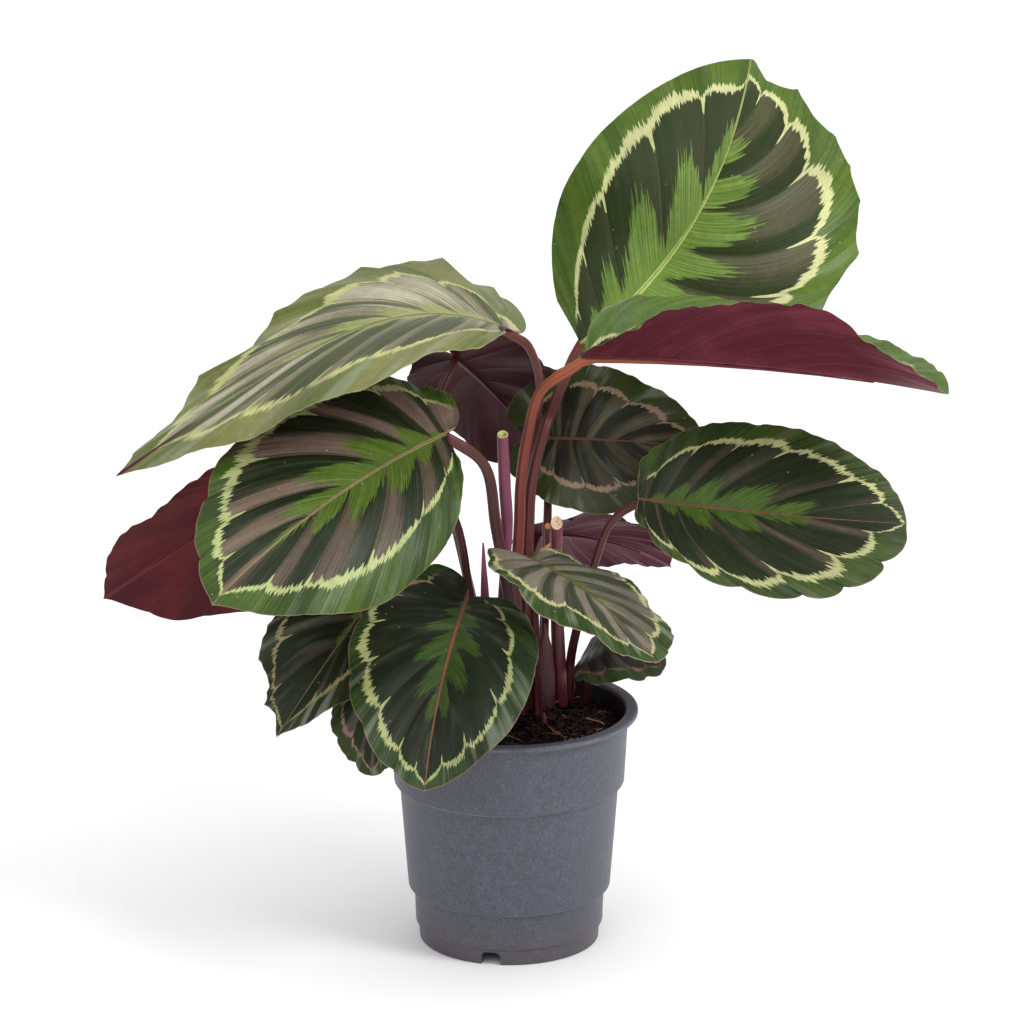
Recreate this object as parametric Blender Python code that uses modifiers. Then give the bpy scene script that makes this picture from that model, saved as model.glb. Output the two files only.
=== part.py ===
"""A young calathea with patterned leaves in a grey nursery pot. Metres, +Z up, the pot stands on z = 0."""

import math

import bmesh
import bpy
import numpy as np
from mathutils import Vector, noise

MM = 0.001
GAP = 0.3

# Pot, in millimetres.
POT_STEPS = 44
POT_HEIGHT = 112.5
LIP_RADIUS = 60.0
FLOOR_TOP = 8.5
PAD_TOP = 2.5
PAD_RADIUS = 14.0
CHANNEL_Z = 6.2
FOOT_RADIUS = 41.9
FOOT_INNER = 38.6
NOTCH_ANGLES = (-101.7, 18.3, 138.3)
NOTCH_WIDTH = 9.0
NOTCH_HEIGHT = 6.0

# Soil.
SOIL_EDGE_Z = 103.0
SOIL_MOUND = (8.0, 10.0)
SOIL_RISE = 5.5
SOIL_BUMP = 0.9
STEM_FOOT_Z = 86.0
STEM_CLEAR_Z = 112.0

# Blades.
BLADE_THICKNESS = 0.7
BLADE_ROW_SPAN = 0.08
BLADE_COLUMNS = 4
LOBE_START = 0.10
LOBE_TURN = 0.06
FULL_SCALLOP = 0.11
SCALLOP_INSET = 0.7
STEM_SIDES = 2
HEEL_SHARE = 0.02
HEEL_GAP = 0.5


def clear_scene():
    for thing in list(bpy.data.objects):
        bpy.data.objects.remove(thing, do_unlink=True)
    for mesh in list(bpy.data.meshes):
        bpy.data.meshes.remove(mesh)


def new_collection(name):
    collection = bpy.data.collections.new(name)
    bpy.context.scene.collection.children.link(collection)
    return collection


def principled(name, color, roughness):
    material = bpy.data.materials.new(name)
    material.use_nodes = True
    shader = material.node_tree.nodes["Principled BSDF"]
    shader.inputs["Base Color"].default_value = (*color, 1.0)
    shader.inputs["Roughness"].default_value = roughness
    material.diffuse_color = (*color, 1.0)
    return material


def mesh_object(name, points, faces, material):
    mesh = bpy.data.meshes.new(name)
    mesh.from_pydata([tuple(MM * value for value in point) for point in points], [], faces)
    mesh.materials.append(material)
    thing = bpy.data.objects.new(name, mesh)
    plant.objects.link(thing)
    return thing


def turned(name, profile, material, steps):
    """A solid turned from (radius, height) points that run over the top and down the outer side."""
    points = [(radius, 0.0, height) for radius, height in profile]
    mesh = bpy.data.meshes.new(name)
    edges = [(i, i + 1) for i in range(len(points) - 1)]
    mesh.from_pydata([tuple(MM * value for value in point) for point in points], edges, [])
    mesh.materials.append(material)
    thing = bpy.data.objects.new(name, mesh)
    plant.objects.link(thing)
    screw = thing.modifiers.new("turn", "SCREW")
    screw.axis = "Z"
    screw.steps = steps
    screw.render_steps = steps
    screw.use_merge_vertices = True
    screw.merge_threshold = 0.00005
    return thing


def cut(thing, cutter):
    cutter.hide_render = True
    cutter.display_type = "WIRE"
    plant.objects.unlink(cutter)
    cutters.objects.link(cutter)
    boolean = thing.modifiers.new("cut", "BOOLEAN")
    boolean.operation = "DIFFERENCE"
    boolean.solver = "EXACT"
    boolean.object = cutter


def unit(vector):
    vector = np.asarray(vector, float)
    return vector / np.linalg.norm(vector, axis=-1, keepdims=True)


def margin(q, length, width, lobe, belly, taper):
    """Where the side vein q ends on the margin: distance along the midrib, distance from it."""
    turn = LOBE_START + (1.0 - LOBE_START) * q
    share = 0.5 - 0.5 * np.cos(math.pi * turn)
    peak = belly / (belly + taper)
    full = peak**belly * (1.0 - peak) ** taper
    reach = np.maximum(share, 0.0) ** belly * np.maximum(1.0 - share, 0.0) ** taper / full
    return -lobe + (length + lobe) * share, 0.5 * width * reach


def bend_half(distance, fold, curl, half):
    """Offsets of a half blade that leaves the midrib at fold and has turned by curl at its margin."""
    curl = curl + 1e-6
    angle = fold + curl * distance / half
    across = half / curl * (np.sin(angle) - np.sin(fold))
    up = half / curl * (np.cos(fold) - np.cos(angle))
    return across, up


def three_way(values, s):
    """A smooth run through a value at the base, one at the middle and one at the tip."""
    base, middle, tip = values
    return base * (1.0 - s) * (1.0 - 2.0 * s) + 4.0 * middle * s * (1.0 - s) + tip * s * (2.0 * s - 1.0)


def midrib(leaf, s):
    """Points and directions of the midrib at the shares s of its length."""
    base = np.array(leaf["base"], float)
    axis = np.array(leaf["tip"], float) - base
    up = unit(np.array(leaf["face"], float) - np.dot(leaf["face"], unit(axis)) * unit(axis))
    side = np.cross(unit(axis), up)
    s = np.asarray(s, float)[..., None]
    end = np.maximum(s - 0.75, 0.0) / 0.25
    bow = leaf["arch"] * up + leaf["sway"] * side
    early = 6.75 * leaf["crest"] * up
    droop = leaf["droop"] * up
    points = base + axis * s + 4.0 * s * (1.0 - s) * bow + s * (1.0 - s) ** 2 * early - end**2 * droop
    slope = 4.0 * (1.0 - 2.0 * s) * bow + (1.0 - s) * (1.0 - 3.0 * s) * early - 8.0 * end * droop
    along = unit(axis + slope)
    normal = unit(up - np.sum(up * along, axis=-1, keepdims=True) * along)
    across = np.cross(along, normal)
    return points, along, across, normal


def scallops(q, corners):
    """0 at each corner of the margin and 1 half way between two, and how wide that stretch is."""
    corners = np.array([min(0.0, corners[0] - 0.1), *corners, 1.0])
    k = np.clip(np.searchsorted(corners, q, side="right") - 1, 0, len(corners) - 2)
    width = corners[k + 1] - corners[k]
    share = np.clip((q - corners[k]) / width, 0.0, 1.0)
    return (4.0 * share * (1.0 - share)) ** 0.6, np.minimum(1.5, width / FULL_SCALLOP)


def blade_points(leaf, q, t):
    """Middle surface of a blade: q runs from base to tip, t from the left margin to the right."""
    length = np.linalg.norm(np.array(leaf["tip"], float) - np.array(leaf["base"], float))
    half = 0.5 * leaf["width"]
    left = t < 0
    lobe, belly, taper, curl, scallop, lift = (
        np.where(left, *leaf[name]) for name in ("lobe", "belly", "taper", "curl", "scallop", "lift")
    )
    edge_x, edge_y = margin(q, length, leaf["width"], lobe, belly, taper)
    edge_x = edge_x + leaf["point"] * np.maximum(0.0, q * 6.0 - 5.0) ** 3
    root_x = length * q**1.7
    out = np.abs(t)
    # Near the base the veins turn back round the lobe, so that it ends in a round.
    back = np.exp(-q / LOBE_TURN)
    ahead = 0.5 * out + 0.5 * out**2.2
    x = root_x + (edge_x - root_x) * (ahead + back * (np.sin(0.5 * math.pi * out) - ahead))
    y = edge_y * (out + back * (1.0 - np.cos(0.5 * math.pi * out) - out))
    pairs = zip(*(scallops(q, corners) for corners in leaf["corners"]))
    lobes, breadth = (np.where(left, of_left, of_right) for of_left, of_right in pairs)
    # A scallop above zero swells out with its corners cut in, and one below zero only cuts in.
    lobes = breadth * (lobes - np.where(scallop < 0.0, 0.0, SCALLOP_INSET))
    ends = np.clip(edge_y / half * 5.0, 0.0, 1.0) * np.clip((1.0 - q) * 16.0, 0.0, 1.0)
    bump = ends * scallop * lobes * out**6
    turn = math.pi * (LOBE_START + (1.0 - LOBE_START) * q)
    x = x - bump * np.cos(turn)
    y = y + bump * np.sin(turn)
    share = np.clip(x / length, 0.0, 1.0)
    folds = three_way(leaf["fold_left"], share), three_way(leaf["fold_right"], share)
    across, up = bend_half(y, np.radians(np.where(left, *folds)), np.radians(curl), half)
    size, count, phase = leaf["wave"]
    beat = 2.0 * math.pi * count * q + np.radians(phase) + np.where(left, 0.0, 2.0)
    up = up + size * out**2 * np.sin(beat) * np.minimum(1.0, 2.2 * edge_y / half - 0.2)
    up = up + ends * lift * lobes * out**3
    points, _, side, normal = midrib(leaf, x / length)
    return points + side * (across * np.where(left, -1.0, 1.0))[..., None] + normal * up[..., None]


def row_places(leaf):
    """Where a blade has its rows: on the corners of its more scalloped margin and between them."""
    left, right = leaf["scallop"]
    corners = [0.0, *leaf["corners"][0 if abs(left) > abs(right) else 1], 1.0]
    places = []
    for low, high in zip(corners, corners[1:]):
        steps = max(2, math.ceil((high - low) / BLADE_ROW_SPAN))
        places += [low + (high - low) * k / steps for k in range(steps)]
    return np.array(places)


def blade_solid(leaf, material):
    """A waved blade, split into triangles alike on its two faces."""
    places = row_places(leaf)
    rows = len(places)
    across = 2 * BLADE_COLUMNS + 1
    q, t = np.meshgrid(places, np.linspace(-1, 1, across), indexing="ij")
    sheet = blade_points(leaf, q, t)
    tip = blade_points(leaf, np.array([1.0]), np.array([0.0]))
    points = np.concatenate([sheet.reshape(-1, 3), tip])
    last = len(points) - 1
    triangles = []
    for i in range(rows - 1):
        for j in range(across - 1):
            a = i * across + j
            b, c, d = a + 1, a + across + 1, a + across
            triangles += [(a, b, c), (a, c, d)] if j >= BLADE_COLUMNS else [(a, b, d), (b, c, d)]
    start = (rows - 1) * across
    triangles += [(start + j, start + j + 1, last) for j in range(across - 1)]
    triangles = np.array(triangles)
    corners = points[triangles]
    flat = np.cross(corners[:, 1] - corners[:, 0], corners[:, 2] - corners[:, 0])
    normals = np.zeros_like(points)
    for k in range(3):
        np.add.at(normals, triangles[:, k], flat)
    normals = unit(normals) * 0.5 * BLADE_THICKNESS
    solid_points = np.concatenate([points + normals, points - normals])
    below = len(points)
    base_edge = list(range(across))
    right_edge = [i * across + across - 1 for i in range(1, rows)]
    left_edge = [i * across for i in range(rows - 1, 0, -1)]
    loop = base_edge + right_edge + [last] + left_edge
    faces = [tuple(int(v) for v in face) for face in triangles]
    faces += [tuple(int(v) + below for v in face[::-1]) for face in triangles]
    for a, b in zip(loop, loop[1:] + loop[:1]):
        faces += [(b, a, a + below), (b, a + below, b + below)]
    return mesh_object(leaf["name"], solid_points.tolist(), faces, material)


def smooth_path(points, per_span):
    """Points of a smooth curve through the given ones."""
    points = [np.array(point, float) for point in points]
    points = [2 * points[0] - points[1]] + points + [2 * points[-1] - points[-2]]
    found = []
    for a, b, c, d in zip(points, points[1:], points[2:], points[3:]):
        for step in range(per_span):
            s = step / per_span
            square, cube = 2 * a - 5 * b + 4 * c - d, 3 * b - a - 3 * c + d
            found.append(0.5 * (2 * b + (c - a) * s + square * s**2 + cube * s**3))
    return found + [points[-2]]


def stem(name, points, radii, material):
    """A round stem along a smooth path, its radius running through the given ones."""
    path = [np.array(points[0], float)] + smooth_path(points[1:], 3)
    curve = bpy.data.curves.new(name, "CURVE")
    curve.dimensions = "3D"
    curve.bevel_depth = MM
    curve.bevel_resolution = STEM_SIDES
    curve.use_fill_caps = True
    spline = curve.splines.new("POLY")
    spline.points.add(len(path) - 1)
    for k, (point, place) in enumerate(zip(spline.points, path)):
        point.co = (*(MM * place), 1.0)
        point.radius = float(np.interp(k / (len(path) - 1), np.linspace(0, 1, len(radii)), radii))
    curve.materials.append(material)
    thing = bpy.data.objects.new(name, curve)
    plant.objects.link(thing)
    return thing


def heel(leaf, before, radius):
    """Where a petiole that comes from the point before ends: just short of the blade's underside."""
    points, _, _, normals = midrib(leaf, np.array([HEEL_SHARE]))
    point, normal = points[0], normals[0]
    facing = float(np.dot(unit(point - np.array(before, float)), normal))
    reach = radius * math.sqrt(max(0.0, 1.0 - facing**2))
    return point - normal * (reach + 0.5 * BLADE_THICKNESS + HEEL_GAP)


def sheath(name, points, widths, depth, facing, material):
    """A flattened sheath that tapers to a point along a smooth path."""
    sides = 10
    path = [np.array(points[0], float)] + smooth_path(points[1:], 3)
    rings = []
    for k, place in enumerate(path):
        ahead = path[min(k + 1, len(path) - 1)] - path[max(k - 1, 0)]
        along = unit(ahead)
        out = unit(np.array(facing, float) - np.dot(facing, along) * along)
        across = np.cross(out, along)
        wide = 0.5 * float(np.interp(k / (len(path) - 1), np.linspace(0, 1, len(widths)), widths))
        deep = min(wide, 0.5 * depth)
        for side in range(sides):
            angle = 2.0 * math.pi * side / sides
            rings.append(place + across * wide * math.cos(angle) + out * deep * math.sin(angle))
    faces = []
    for k in range(len(path) - 1):
        for side in range(sides):
            a, b = k * sides + side, k * sides + (side + 1) % sides
            faces.append((a, b, b + sides, a + sides))
    faces.append(tuple(range(sides - 1, -1, -1)))
    faces.append(tuple(range((len(path) - 1) * sides, len(path) * sides)))
    return mesh_object(name, [tuple(point) for point in rings], faces, material)


def make_leaf(name, base, tip, face, width, lobe=(15.0, 15.0), belly=(0.5, 0.5), taper=(0.62, 0.62), arch=4.0,
              crest=0.0, sway=0.0, droop=0.0, fold_left=(8.0, 8.0, 8.0), fold_right=(8.0, 8.0, 8.0),
              curl=(-12.0, -12.0), wave=(2.0, 3.5, 0.0), point=3.0,
              corners=((0.1, 0.25, 0.4, 0.56, 0.72, 0.86), (0.08, 0.2, 0.33, 0.5, 0.66, 0.82)),
              scallop=(0.8, 0.8), lift=(0.5, 0.5)):
    """Lengths in millimetres, angles in degrees. A pair is (left half, right half) seen from above,
    a fold is (at the base, at the middle, at the tip), and a wave is (height, number of waves, start)."""
    return dict(name=name, base=base, tip=tip, face=face, width=width, lobe=lobe, belly=belly, taper=taper,
                arch=arch, crest=crest, sway=sway, droop=droop, fold_left=fold_left, fold_right=fold_right,
                curl=curl, wave=wave, point=point, corners=corners, scallop=scallop, lift=lift)


# The fourteen leaves: base and tip of the midrib, the way the upper face looks, then size and shape.
LEAVES = [
    make_leaf("leaf_top", (33, 46, 274), (112, 80, 402), (0.45, -1.0, 0.3), 164, lobe=(3, -4),
              belly=(0.5, 1.0), taper=(0.52, 0.72), arch=-4, sway=18, fold_left=(10, 30, 14),
              fold_right=(10, 12, -40), curl=(-12, -8), wave=(0.6, 3.0, 40), point=0,
              corners=((0.2, 0.4, 0.6, 0.8), (0.2, 0.4, 0.52, 0.6, 0.65, 0.70, 0.80)),
              scallop=(0.3, -4.2), lift=(0.3, -1.5)),
    make_leaf("leaf_right_folded", (31, 5, 279), (199, -25, 270), (0.0, 0.1, 1.0), 102, lobe=(0, 0),
              belly=(0.6, 0.8), taper=(0.62, 0.42), arch=4, fold_left=(76, 20, 34), fold_right=(34, 48, 12),
              curl=(-8, 0), wave=(1.6, 3.5, 0), point=0, scallop=(0.8, 1.2), lift=(0.8, 0.8)),
    make_leaf("leaf_left_pale", (3, 15, 288), (-176, -41, 243), (0.0, -0.2, 1.0), 118, lobe=(-10, 14),
              belly=(0.45, 0.3), taper=(0.95, 0.8), arch=4, crest=24, droop=6, fold_left=(14, 10, 0),
              fold_right=(10, 1, 0), curl=(-10, -6), wave=(2.0, 4.5, 20),
              corners=((0.15, 0.3, 0.45, 0.6, 0.75), (0.06, 0.17, 0.31, 0.475, 0.635, 0.86)),
              scallop=(0.6, -2.0), lift=(0.6, -2.8)),
    make_leaf("leaf_left_big", (-27, -10, 248), (-130, -100, 196), (-0.2, -0.75, 0.65), 108, lobe=(-4, 17),
              belly=(0.55, 0.5), arch=6, sway=4, fold_left=(8, 4, 4), fold_right=(8, 8, 8), curl=(-46, -8),
              wave=(1.6, 3.0, 60), scallop=(0.4, 1.8), lift=(0.4, 1.4)),
    make_leaf("leaf_right", (60, 10, 210), (183, 0, 201), (0.0, -0.75, 0.66), 92, lobe=(7, 4),
              belly=(0.42, 0.75), taper=(0.52, 0.62), arch=6, sway=4, fold_left=(6, 6, 6),
              fold_right=(18, 18, 10), curl=(-14, -14), wave=(1.0, 3.5, 120), point=0,
              corners=((0.1, 0.25, 0.4, 0.56, 0.72, 0.86), (0.1, 0.27, 0.40, 0.55, 0.655, 0.8)),
              scallop=(0.4, 3.4), lift=(0.3, 1.2)),
    make_leaf("leaf_front", (-19, -17, 171), (-38, -94, 105), (-0.05, -0.6, 0.8), 91, lobe=(2, 18),
              belly=(0.52, 0.43), arch=5, sway=2, fold_left=(20, 24, 16), fold_right=(0, 2, 4),
              curl=(-14, 0), wave=(2.0, 3.0, 0), point=1, scallop=(0.4, 1.6), lift=(0.3, 0.9)),
    make_leaf("leaf_low_left", (-58, 14, 169), (-106, -26, 108), (-0.4, -0.6, 0.7), 78, lobe=(3, 10),
              taper=(0.95, 0.62), arch=5, sway=-3, fold_left=(10, 10, 10), fold_right=(18, 18, 10),
              curl=(0, -6), wave=(2.6, 3.0, 90), point=2,
              corners=((0.2, 0.4, 0.6, 0.8), (0.15, 0.35, 0.64, 0.82)), scallop=(0.8, -3.0), lift=(0.6, 0.8)),
    make_leaf("leaf_bottom_left", (-55, -14, 150), (-63, -42, 93), (-0.5, -0.8, 0.4), 50, lobe=(6, 8),
              arch=4, wave=(1.5, 3.0, 0), point=0, scallop=(0.8, 1.2), lift=(0.5, 0.6)),
    make_leaf("leaf_far_left", (-87, 20, 226), (-186, 20, 161), (-0.2, 0.9, 0.4), 104, lobe=(12, 12), arch=2,
              fold_left=(-20, -22, -14), fold_right=(-12, -14, -8), curl=(-10, -4), wave=(2.5, 3.0, 45),
              point=4, scallop=(1.0, 1.0)),
    make_leaf("leaf_behind", (-26, 63, 264), (25, 113, 190), (0.1, 0.8, 0.6), 74, lobe=(12, 22),
              belly=(0.5, 0.3), arch=5, fold_left=(4, 4, 4), fold_right=(4, 4, 4), wave=(2.5, 4.0, 45),
              scallop=(1.4, 1.4), lift=(0.8, 0.8)),
    make_leaf("leaf_back", (18, 49, 228), (95, 54, 221), (0.0, -0.87, 0.5), 71, lobe=(21, 21),
              taper=(0.8, 0.62), point=0, arch=5, wave=(2.0, 3.0, 45), scallop=(0.5, 1.0), lift=(0.3, 0.5)),
    make_leaf("leaf_low_centre", (12, 60, 178), (75, 85, 155), (0.1, 0.65, 0.75), 64, lobe=(9, 9),
              arch=5, fold_left=(4, 4, 4), fold_right=(4, 4, 4), wave=(1.5, 3.0, 0), scallop=(2.0, 2.0),
              lift=(0.8, 0.8)),
    make_leaf("leaf_small_front", (11, -17, 189), (66, -68, 157), (0.12, 0.0, 1.0), 60, lobe=(8, 20),
              taper=(0.45, 0.62), point=1, arch=5, fold_left=(6, 6, 6), fold_right=(6, 2, 2),
              curl=(-14, -24), wave=(2.0, 3.0, 0), scallop=(0.5, 2.4), lift=(0.4, 1.0)),
    make_leaf("leaf_low_right", (34, 26, 127), (72, 7, 128), (0.1, -0.45, 0.9), 52, lobe=(3, 1), point=0,
              arch=11, fold_left=(4, 4, 4), fold_right=(4, 4, 4), curl=(-16, -16), wave=(1.2, 3.0, 0),
              scallop=(0.8, 1.6), lift=(0.5, 0.7)),
]

# Petiole paths from the soil to just before each blade.
PETIOLES = {
    "leaf_top": [(9, 17), (8, 16, 160), (9, 15.5, 193), (10.5, 15, 217), (16, 17, 240), (22, 30, 253),
                 (28, 46, 263)],
    "leaf_right_folded": [(3, 11), (2.8, 10.5, 160), (4.6, 10, 196), (5.5, 9, 220), (9, 8, 244),
                          (15, 7.5, 263)],
    "leaf_left_pale": [(2, 21), (4, 22, 190), (12, 24, 240), (14, 24, 262), (9, 20, 280)],
    "leaf_left_big": [(6, 2), (0, 0, 165), (-6, -2, 200), (-11, -5, 230)],
    "leaf_right": [(28, 24), (30, 22, 136), (42, 14, 186), (50, 13, 201)],
    "leaf_front": [(-3, -3), (-6, -4, 150), (-11, -7, 165)],
    "leaf_low_left": [(-14, 7), (-19, 10, 140), (-38, 17, 161)],
    "leaf_bottom_left": [(-8, -9), (-16, -10, 125), (-36, -11, 140)],
    "leaf_far_left": [(-9, 15), (-18, 12, 162), (-28, 13, 205), (-60, 13, 226)],
    "leaf_behind": [(-7, 24), (-18, 20, 162), (-29, 28, 212), (-33, 47, 245)],
    "leaf_back": [(16, 36), (17, 36, 170), (18, 39, 196), (18, 48, 214)],
    "leaf_low_centre": [(8, 31), (8, 36, 155), (10, 50, 171)],
    "leaf_small_front": [(13, 2), (12, -4, 150), (11, -15, 177)],
    "leaf_low_right": [(36, 29), (36, 29, 118)],
}

PETIOLE_RADII = {
    "leaf_top": (2.8, 2.6, 2.5, 2.3),
    "leaf_right_folded": (2.9, 2.7, 2.5, 2.3),
    "leaf_left_big": (3.0, 2.8, 2.6, 2.2),
}


def main():
    slots = {
        "pot_plastic": principled("pot_plastic", (0.10, 0.10, 0.13), 0.6),
        "peat": principled("peat", (0.02, 0.012, 0.009), 0.95),
        "leaf_upper": principled("leaf_upper", (0.03, 0.10, 0.02), 0.4),
        "petiole_skin": principled("petiole_skin", (0.12, 0.03, 0.025), 0.4),
        "stub_skin": principled("stub_skin", (0.25, 0.05, 0.10), 0.4),
        "sheath_skin": principled("sheath_skin", (0.10, 0.04, 0.035), 0.5),
    }
    pot_profile = [
        (0.0, PAD_TOP), (PAD_RADIUS - 3.2, PAD_TOP), (PAD_RADIUS - 1.6, FLOOR_TOP), (40.2, FLOOR_TOP),
        (42.2, 10.4), (42.7, 25.0), (45.6, 27.4), (49.5, 76.0), (52.0, 78.4), (53.8, 110.4), (54.4, 112.0),
        (55.2, POT_HEIGHT), (59.2, POT_HEIGHT), (59.8, 112.1), (LIP_RADIUS, 111.5), (LIP_RADIUS, 110.3),
        (59.3, 109.7), (56.2, 109.5), (55.4, 108.9), (53.7, 77.6), (53.0, 76.7), (51.1, 76.4), (47.2, 26.2),
        (46.8, 25.6), (44.4, 25.3), (43.8, 8.4), (43.4, 7.9), (42.4, 7.7), (FOOT_RADIUS, 0.0),
        (FOOT_INNER, 0.0), (FOOT_INNER, CHANNEL_Z), (PAD_RADIUS, CHANNEL_Z), (PAD_RADIUS, 0.0), (0.0, 0.0),
    ]
    pot = turned("pot", pot_profile, slots["pot_plastic"], POT_STEPS)
    for angle in NOTCH_ANGLES:
        cut(pot, notch_cutter(angle, slots["pot_plastic"]))
    soil_piece = soil(slots["peat"])
    stems = []
    for leaf in LEAVES:
        blade_solid(leaf, slots["leaf_upper"])
        stems.append(petiole(leaf, slots["petiole_skin"]))
    stems += small_stems(slots)
    for place, radius in stems:
        cut(soil_piece, hole_cutter(place, radius, slots["peat"]))


def petiole(leaf, material):
    key = leaf["name"]
    path = PETIOLES[key]
    radii = PETIOLE_RADII.get(key, (2.4, 2.1, 1.9, 1.8))
    foot = path[0]
    points = [(*foot, STEM_FOOT_Z), (*foot, STEM_CLEAR_Z)] + path[1:]
    points.append(tuple(heel(leaf, path[-1], radii[-1])))
    stem("petiole_" + key[5:], points, radii, material)
    return foot, radii[0]


def small_stems(slots):
    found = []
    stem("stub_pink", [(-4, 8, STEM_FOOT_Z), (-4, 8, STEM_CLEAR_Z), (-3, 7, 160), (-1, 5, 196), (-2, 3, 218),
         (-3, 3, 243)], (2.7, 2.5, 2.3, 2.8, 2.8, 2.6), slots["stub_skin"])
    found.append(((-4, 8), 2.7))
    stem("stub_cream", [(24, 17, STEM_FOOT_Z), (24, 17, STEM_CLEAR_Z), (22, 18, 160), (22, 18, 196)],
         (3.3, 3.2, 2.7, 2.8), slots["stub_skin"])
    found.append(((24, 17), 3.3))
    stem("stub_thin", [(16, 26, STEM_FOOT_Z), (16, 26, STEM_CLEAR_Z), (17, 26, 160), (18, 26, 192)],
         (1.8, 1.7, 1.5), slots["stub_skin"])
    found.append(((16, 26), 1.8))
    sheath("sheath_pointed", [(17, 9, STEM_FOOT_Z), (17, 9, STEM_CLEAR_Z), (17, 10, 130), (16.5, 12, 149)],
           (9, 9, 8.5, 6, 0.8), 3.0, (0.3, -1, 0.2), slots["sheath_skin"])
    found.append(((17, 9), 4.6))
    sheath("sheath_magenta", [(-12, -1, STEM_FOOT_Z), (-12, -1, STEM_CLEAR_Z), (-11, -1, 150), (-12, 0, 192)],
           (6.5, 6.5, 6, 4, 0.8), 2.6, (-0.3, -1, 0.2), slots["stub_skin"])
    found.append(((-12, -1), 3.4))
    sheath("sheath_dried", [(10, 7, STEM_FOOT_Z), (10, 7, STEM_CLEAR_Z), (11, 7, 160), (13, 7, 181),
           (19, 9, 189)], (3.6, 3.6, 3.6, 4, 0.8), 1.6, (-0.3, -1, 0.4), slots["sheath_skin"])
    found.append(((10, 7), 1.9))
    stem("shoot", [(16, -8, STEM_FOOT_Z), (16, -8, 106), (16, -8, 112)], (1.6, 1.5, 0.5), slots["stub_skin"])
    found.append(((16, -8), 1.6))
    return found


def notch_cutter(angle, material):
    """A drain notch with its upper corners cut off, set across the foot ring."""
    half, top, corner = 0.5 * NOTCH_WIDTH, NOTCH_HEIGHT, 1.5
    outline = [(-half, -1.0), (half, -1.0), (half, top - corner), (half - corner, top),
               (corner - half, top), (-half, top - corner)]
    near, far = 37.0, 46.0
    points = [(near, y, z) for y, z in outline] + [(far, y, z) for y, z in outline]
    count = len(outline)
    faces = [tuple(range(count - 1, -1, -1)), tuple(range(count, 2 * count))]
    faces += [(i, (i + 1) % count, (i + 1) % count + count, i + count) for i in range(count)]
    thing = mesh_object("notch_cutter", points, faces, material)
    thing.rotation_euler = (0.0, 0.0, math.radians(angle))
    return thing


def hole_cutter(place, radius, material):
    """A plain hole in the soil for one stem."""
    mesh = bpy.data.meshes.new("hole_cutter")
    shape = bmesh.new()
    size = (radius + GAP + 0.2) * MM
    bmesh.ops.create_cone(shape, cap_ends=True, segments=10, radius1=size, radius2=size, depth=0.040)
    shape.to_mesh(mesh)
    shape.free()
    mesh.materials.append(material)
    thing = bpy.data.objects.new("hole_cutter", mesh)
    plant.objects.link(thing)
    thing.location = (place[0] * MM, place[1] * MM, (STEM_FOOT_Z - GAP + 20.0) * MM)
    return thing


def soil_height(x, y):
    away = math.hypot(x - SOIL_MOUND[0], y - SOIL_MOUND[1])
    coarse = noise.noise(Vector((x * 0.11, y * 0.11, 3.0)))
    fine = noise.noise(Vector((x * 0.31, y * 0.31, 9.0)))
    return SOIL_EDGE_Z + SOIL_RISE * math.exp(-((away / 34.0) ** 2)) + SOIL_BUMP * (coarse + 0.6 * fine)


def soil(material):
    """The peat: it fills the pot to a rough mound."""
    steps = 36
    side = [(0.0, PAD_TOP + GAP), (PAD_RADIUS - 3.6, PAD_TOP + GAP), (PAD_RADIUS - 2.0, FLOOR_TOP + GAP),
            (39.6, FLOOR_TOP + GAP), (41.4, 10.7), (41.9, 25.4), (44.8, 27.9), (48.7, 76.5), (51.2, 78.9),
            (52.5, 100.0)]
    rings = [0.0, 9.0, 18.0, 27.0, 35.0, 43.0, 49.0]
    points = [(0.0, 0.0, side[0][1])]
    for radius, height in side[1:]:
        for k in range(steps):
            angle = 2.0 * math.pi * k / steps
            points.append((radius * math.cos(angle), radius * math.sin(angle), height))
    for radius in rings[:0:-1]:
        for k in range(steps):
            angle = 2.0 * math.pi * (k + 0.5 * (radius % 2)) / steps
            x, y = radius * math.cos(angle), radius * math.sin(angle)
            points.append((x, y, soil_height(x, y)))
    points.append((0.0, 0.0, soil_height(0.0, 0.0)))
    faces = [(0, 1 + (k + 1) % steps, 1 + k) for k in range(steps)]
    count = (len(points) - 2) // steps
    for ring in range(count - 1):
        for k in range(steps):
            a, b = 1 + ring * steps + k, 1 + ring * steps + (k + 1) % steps
            faces += [(a, b, b + steps), (a, b + steps, a + steps)]
    last, top = 1 + (count - 1) * steps, len(points) - 1
    faces += [(last + k, last + (k + 1) % steps, top) for k in range(steps)]
    return mesh_object("soil", points, faces, material)


clear_scene()
plant = new_collection("potted_calathea")
cutters = new_collection("cutters")
main()
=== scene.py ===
# %% [markdown]
# # A potted calathea
#
# A young calathea is a clump of broad, patterned leaves. Each leaf stands on its own stalk, the petiole,
# and every petiole comes straight out of the soil. This lesson dresses a plain measured model of one:
# each measured solid is hidden, and a finer piece of the same size and place stands for it.

# %% Load the measured plant
import math

import bpy
import numpy as np
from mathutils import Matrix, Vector, noise


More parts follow.
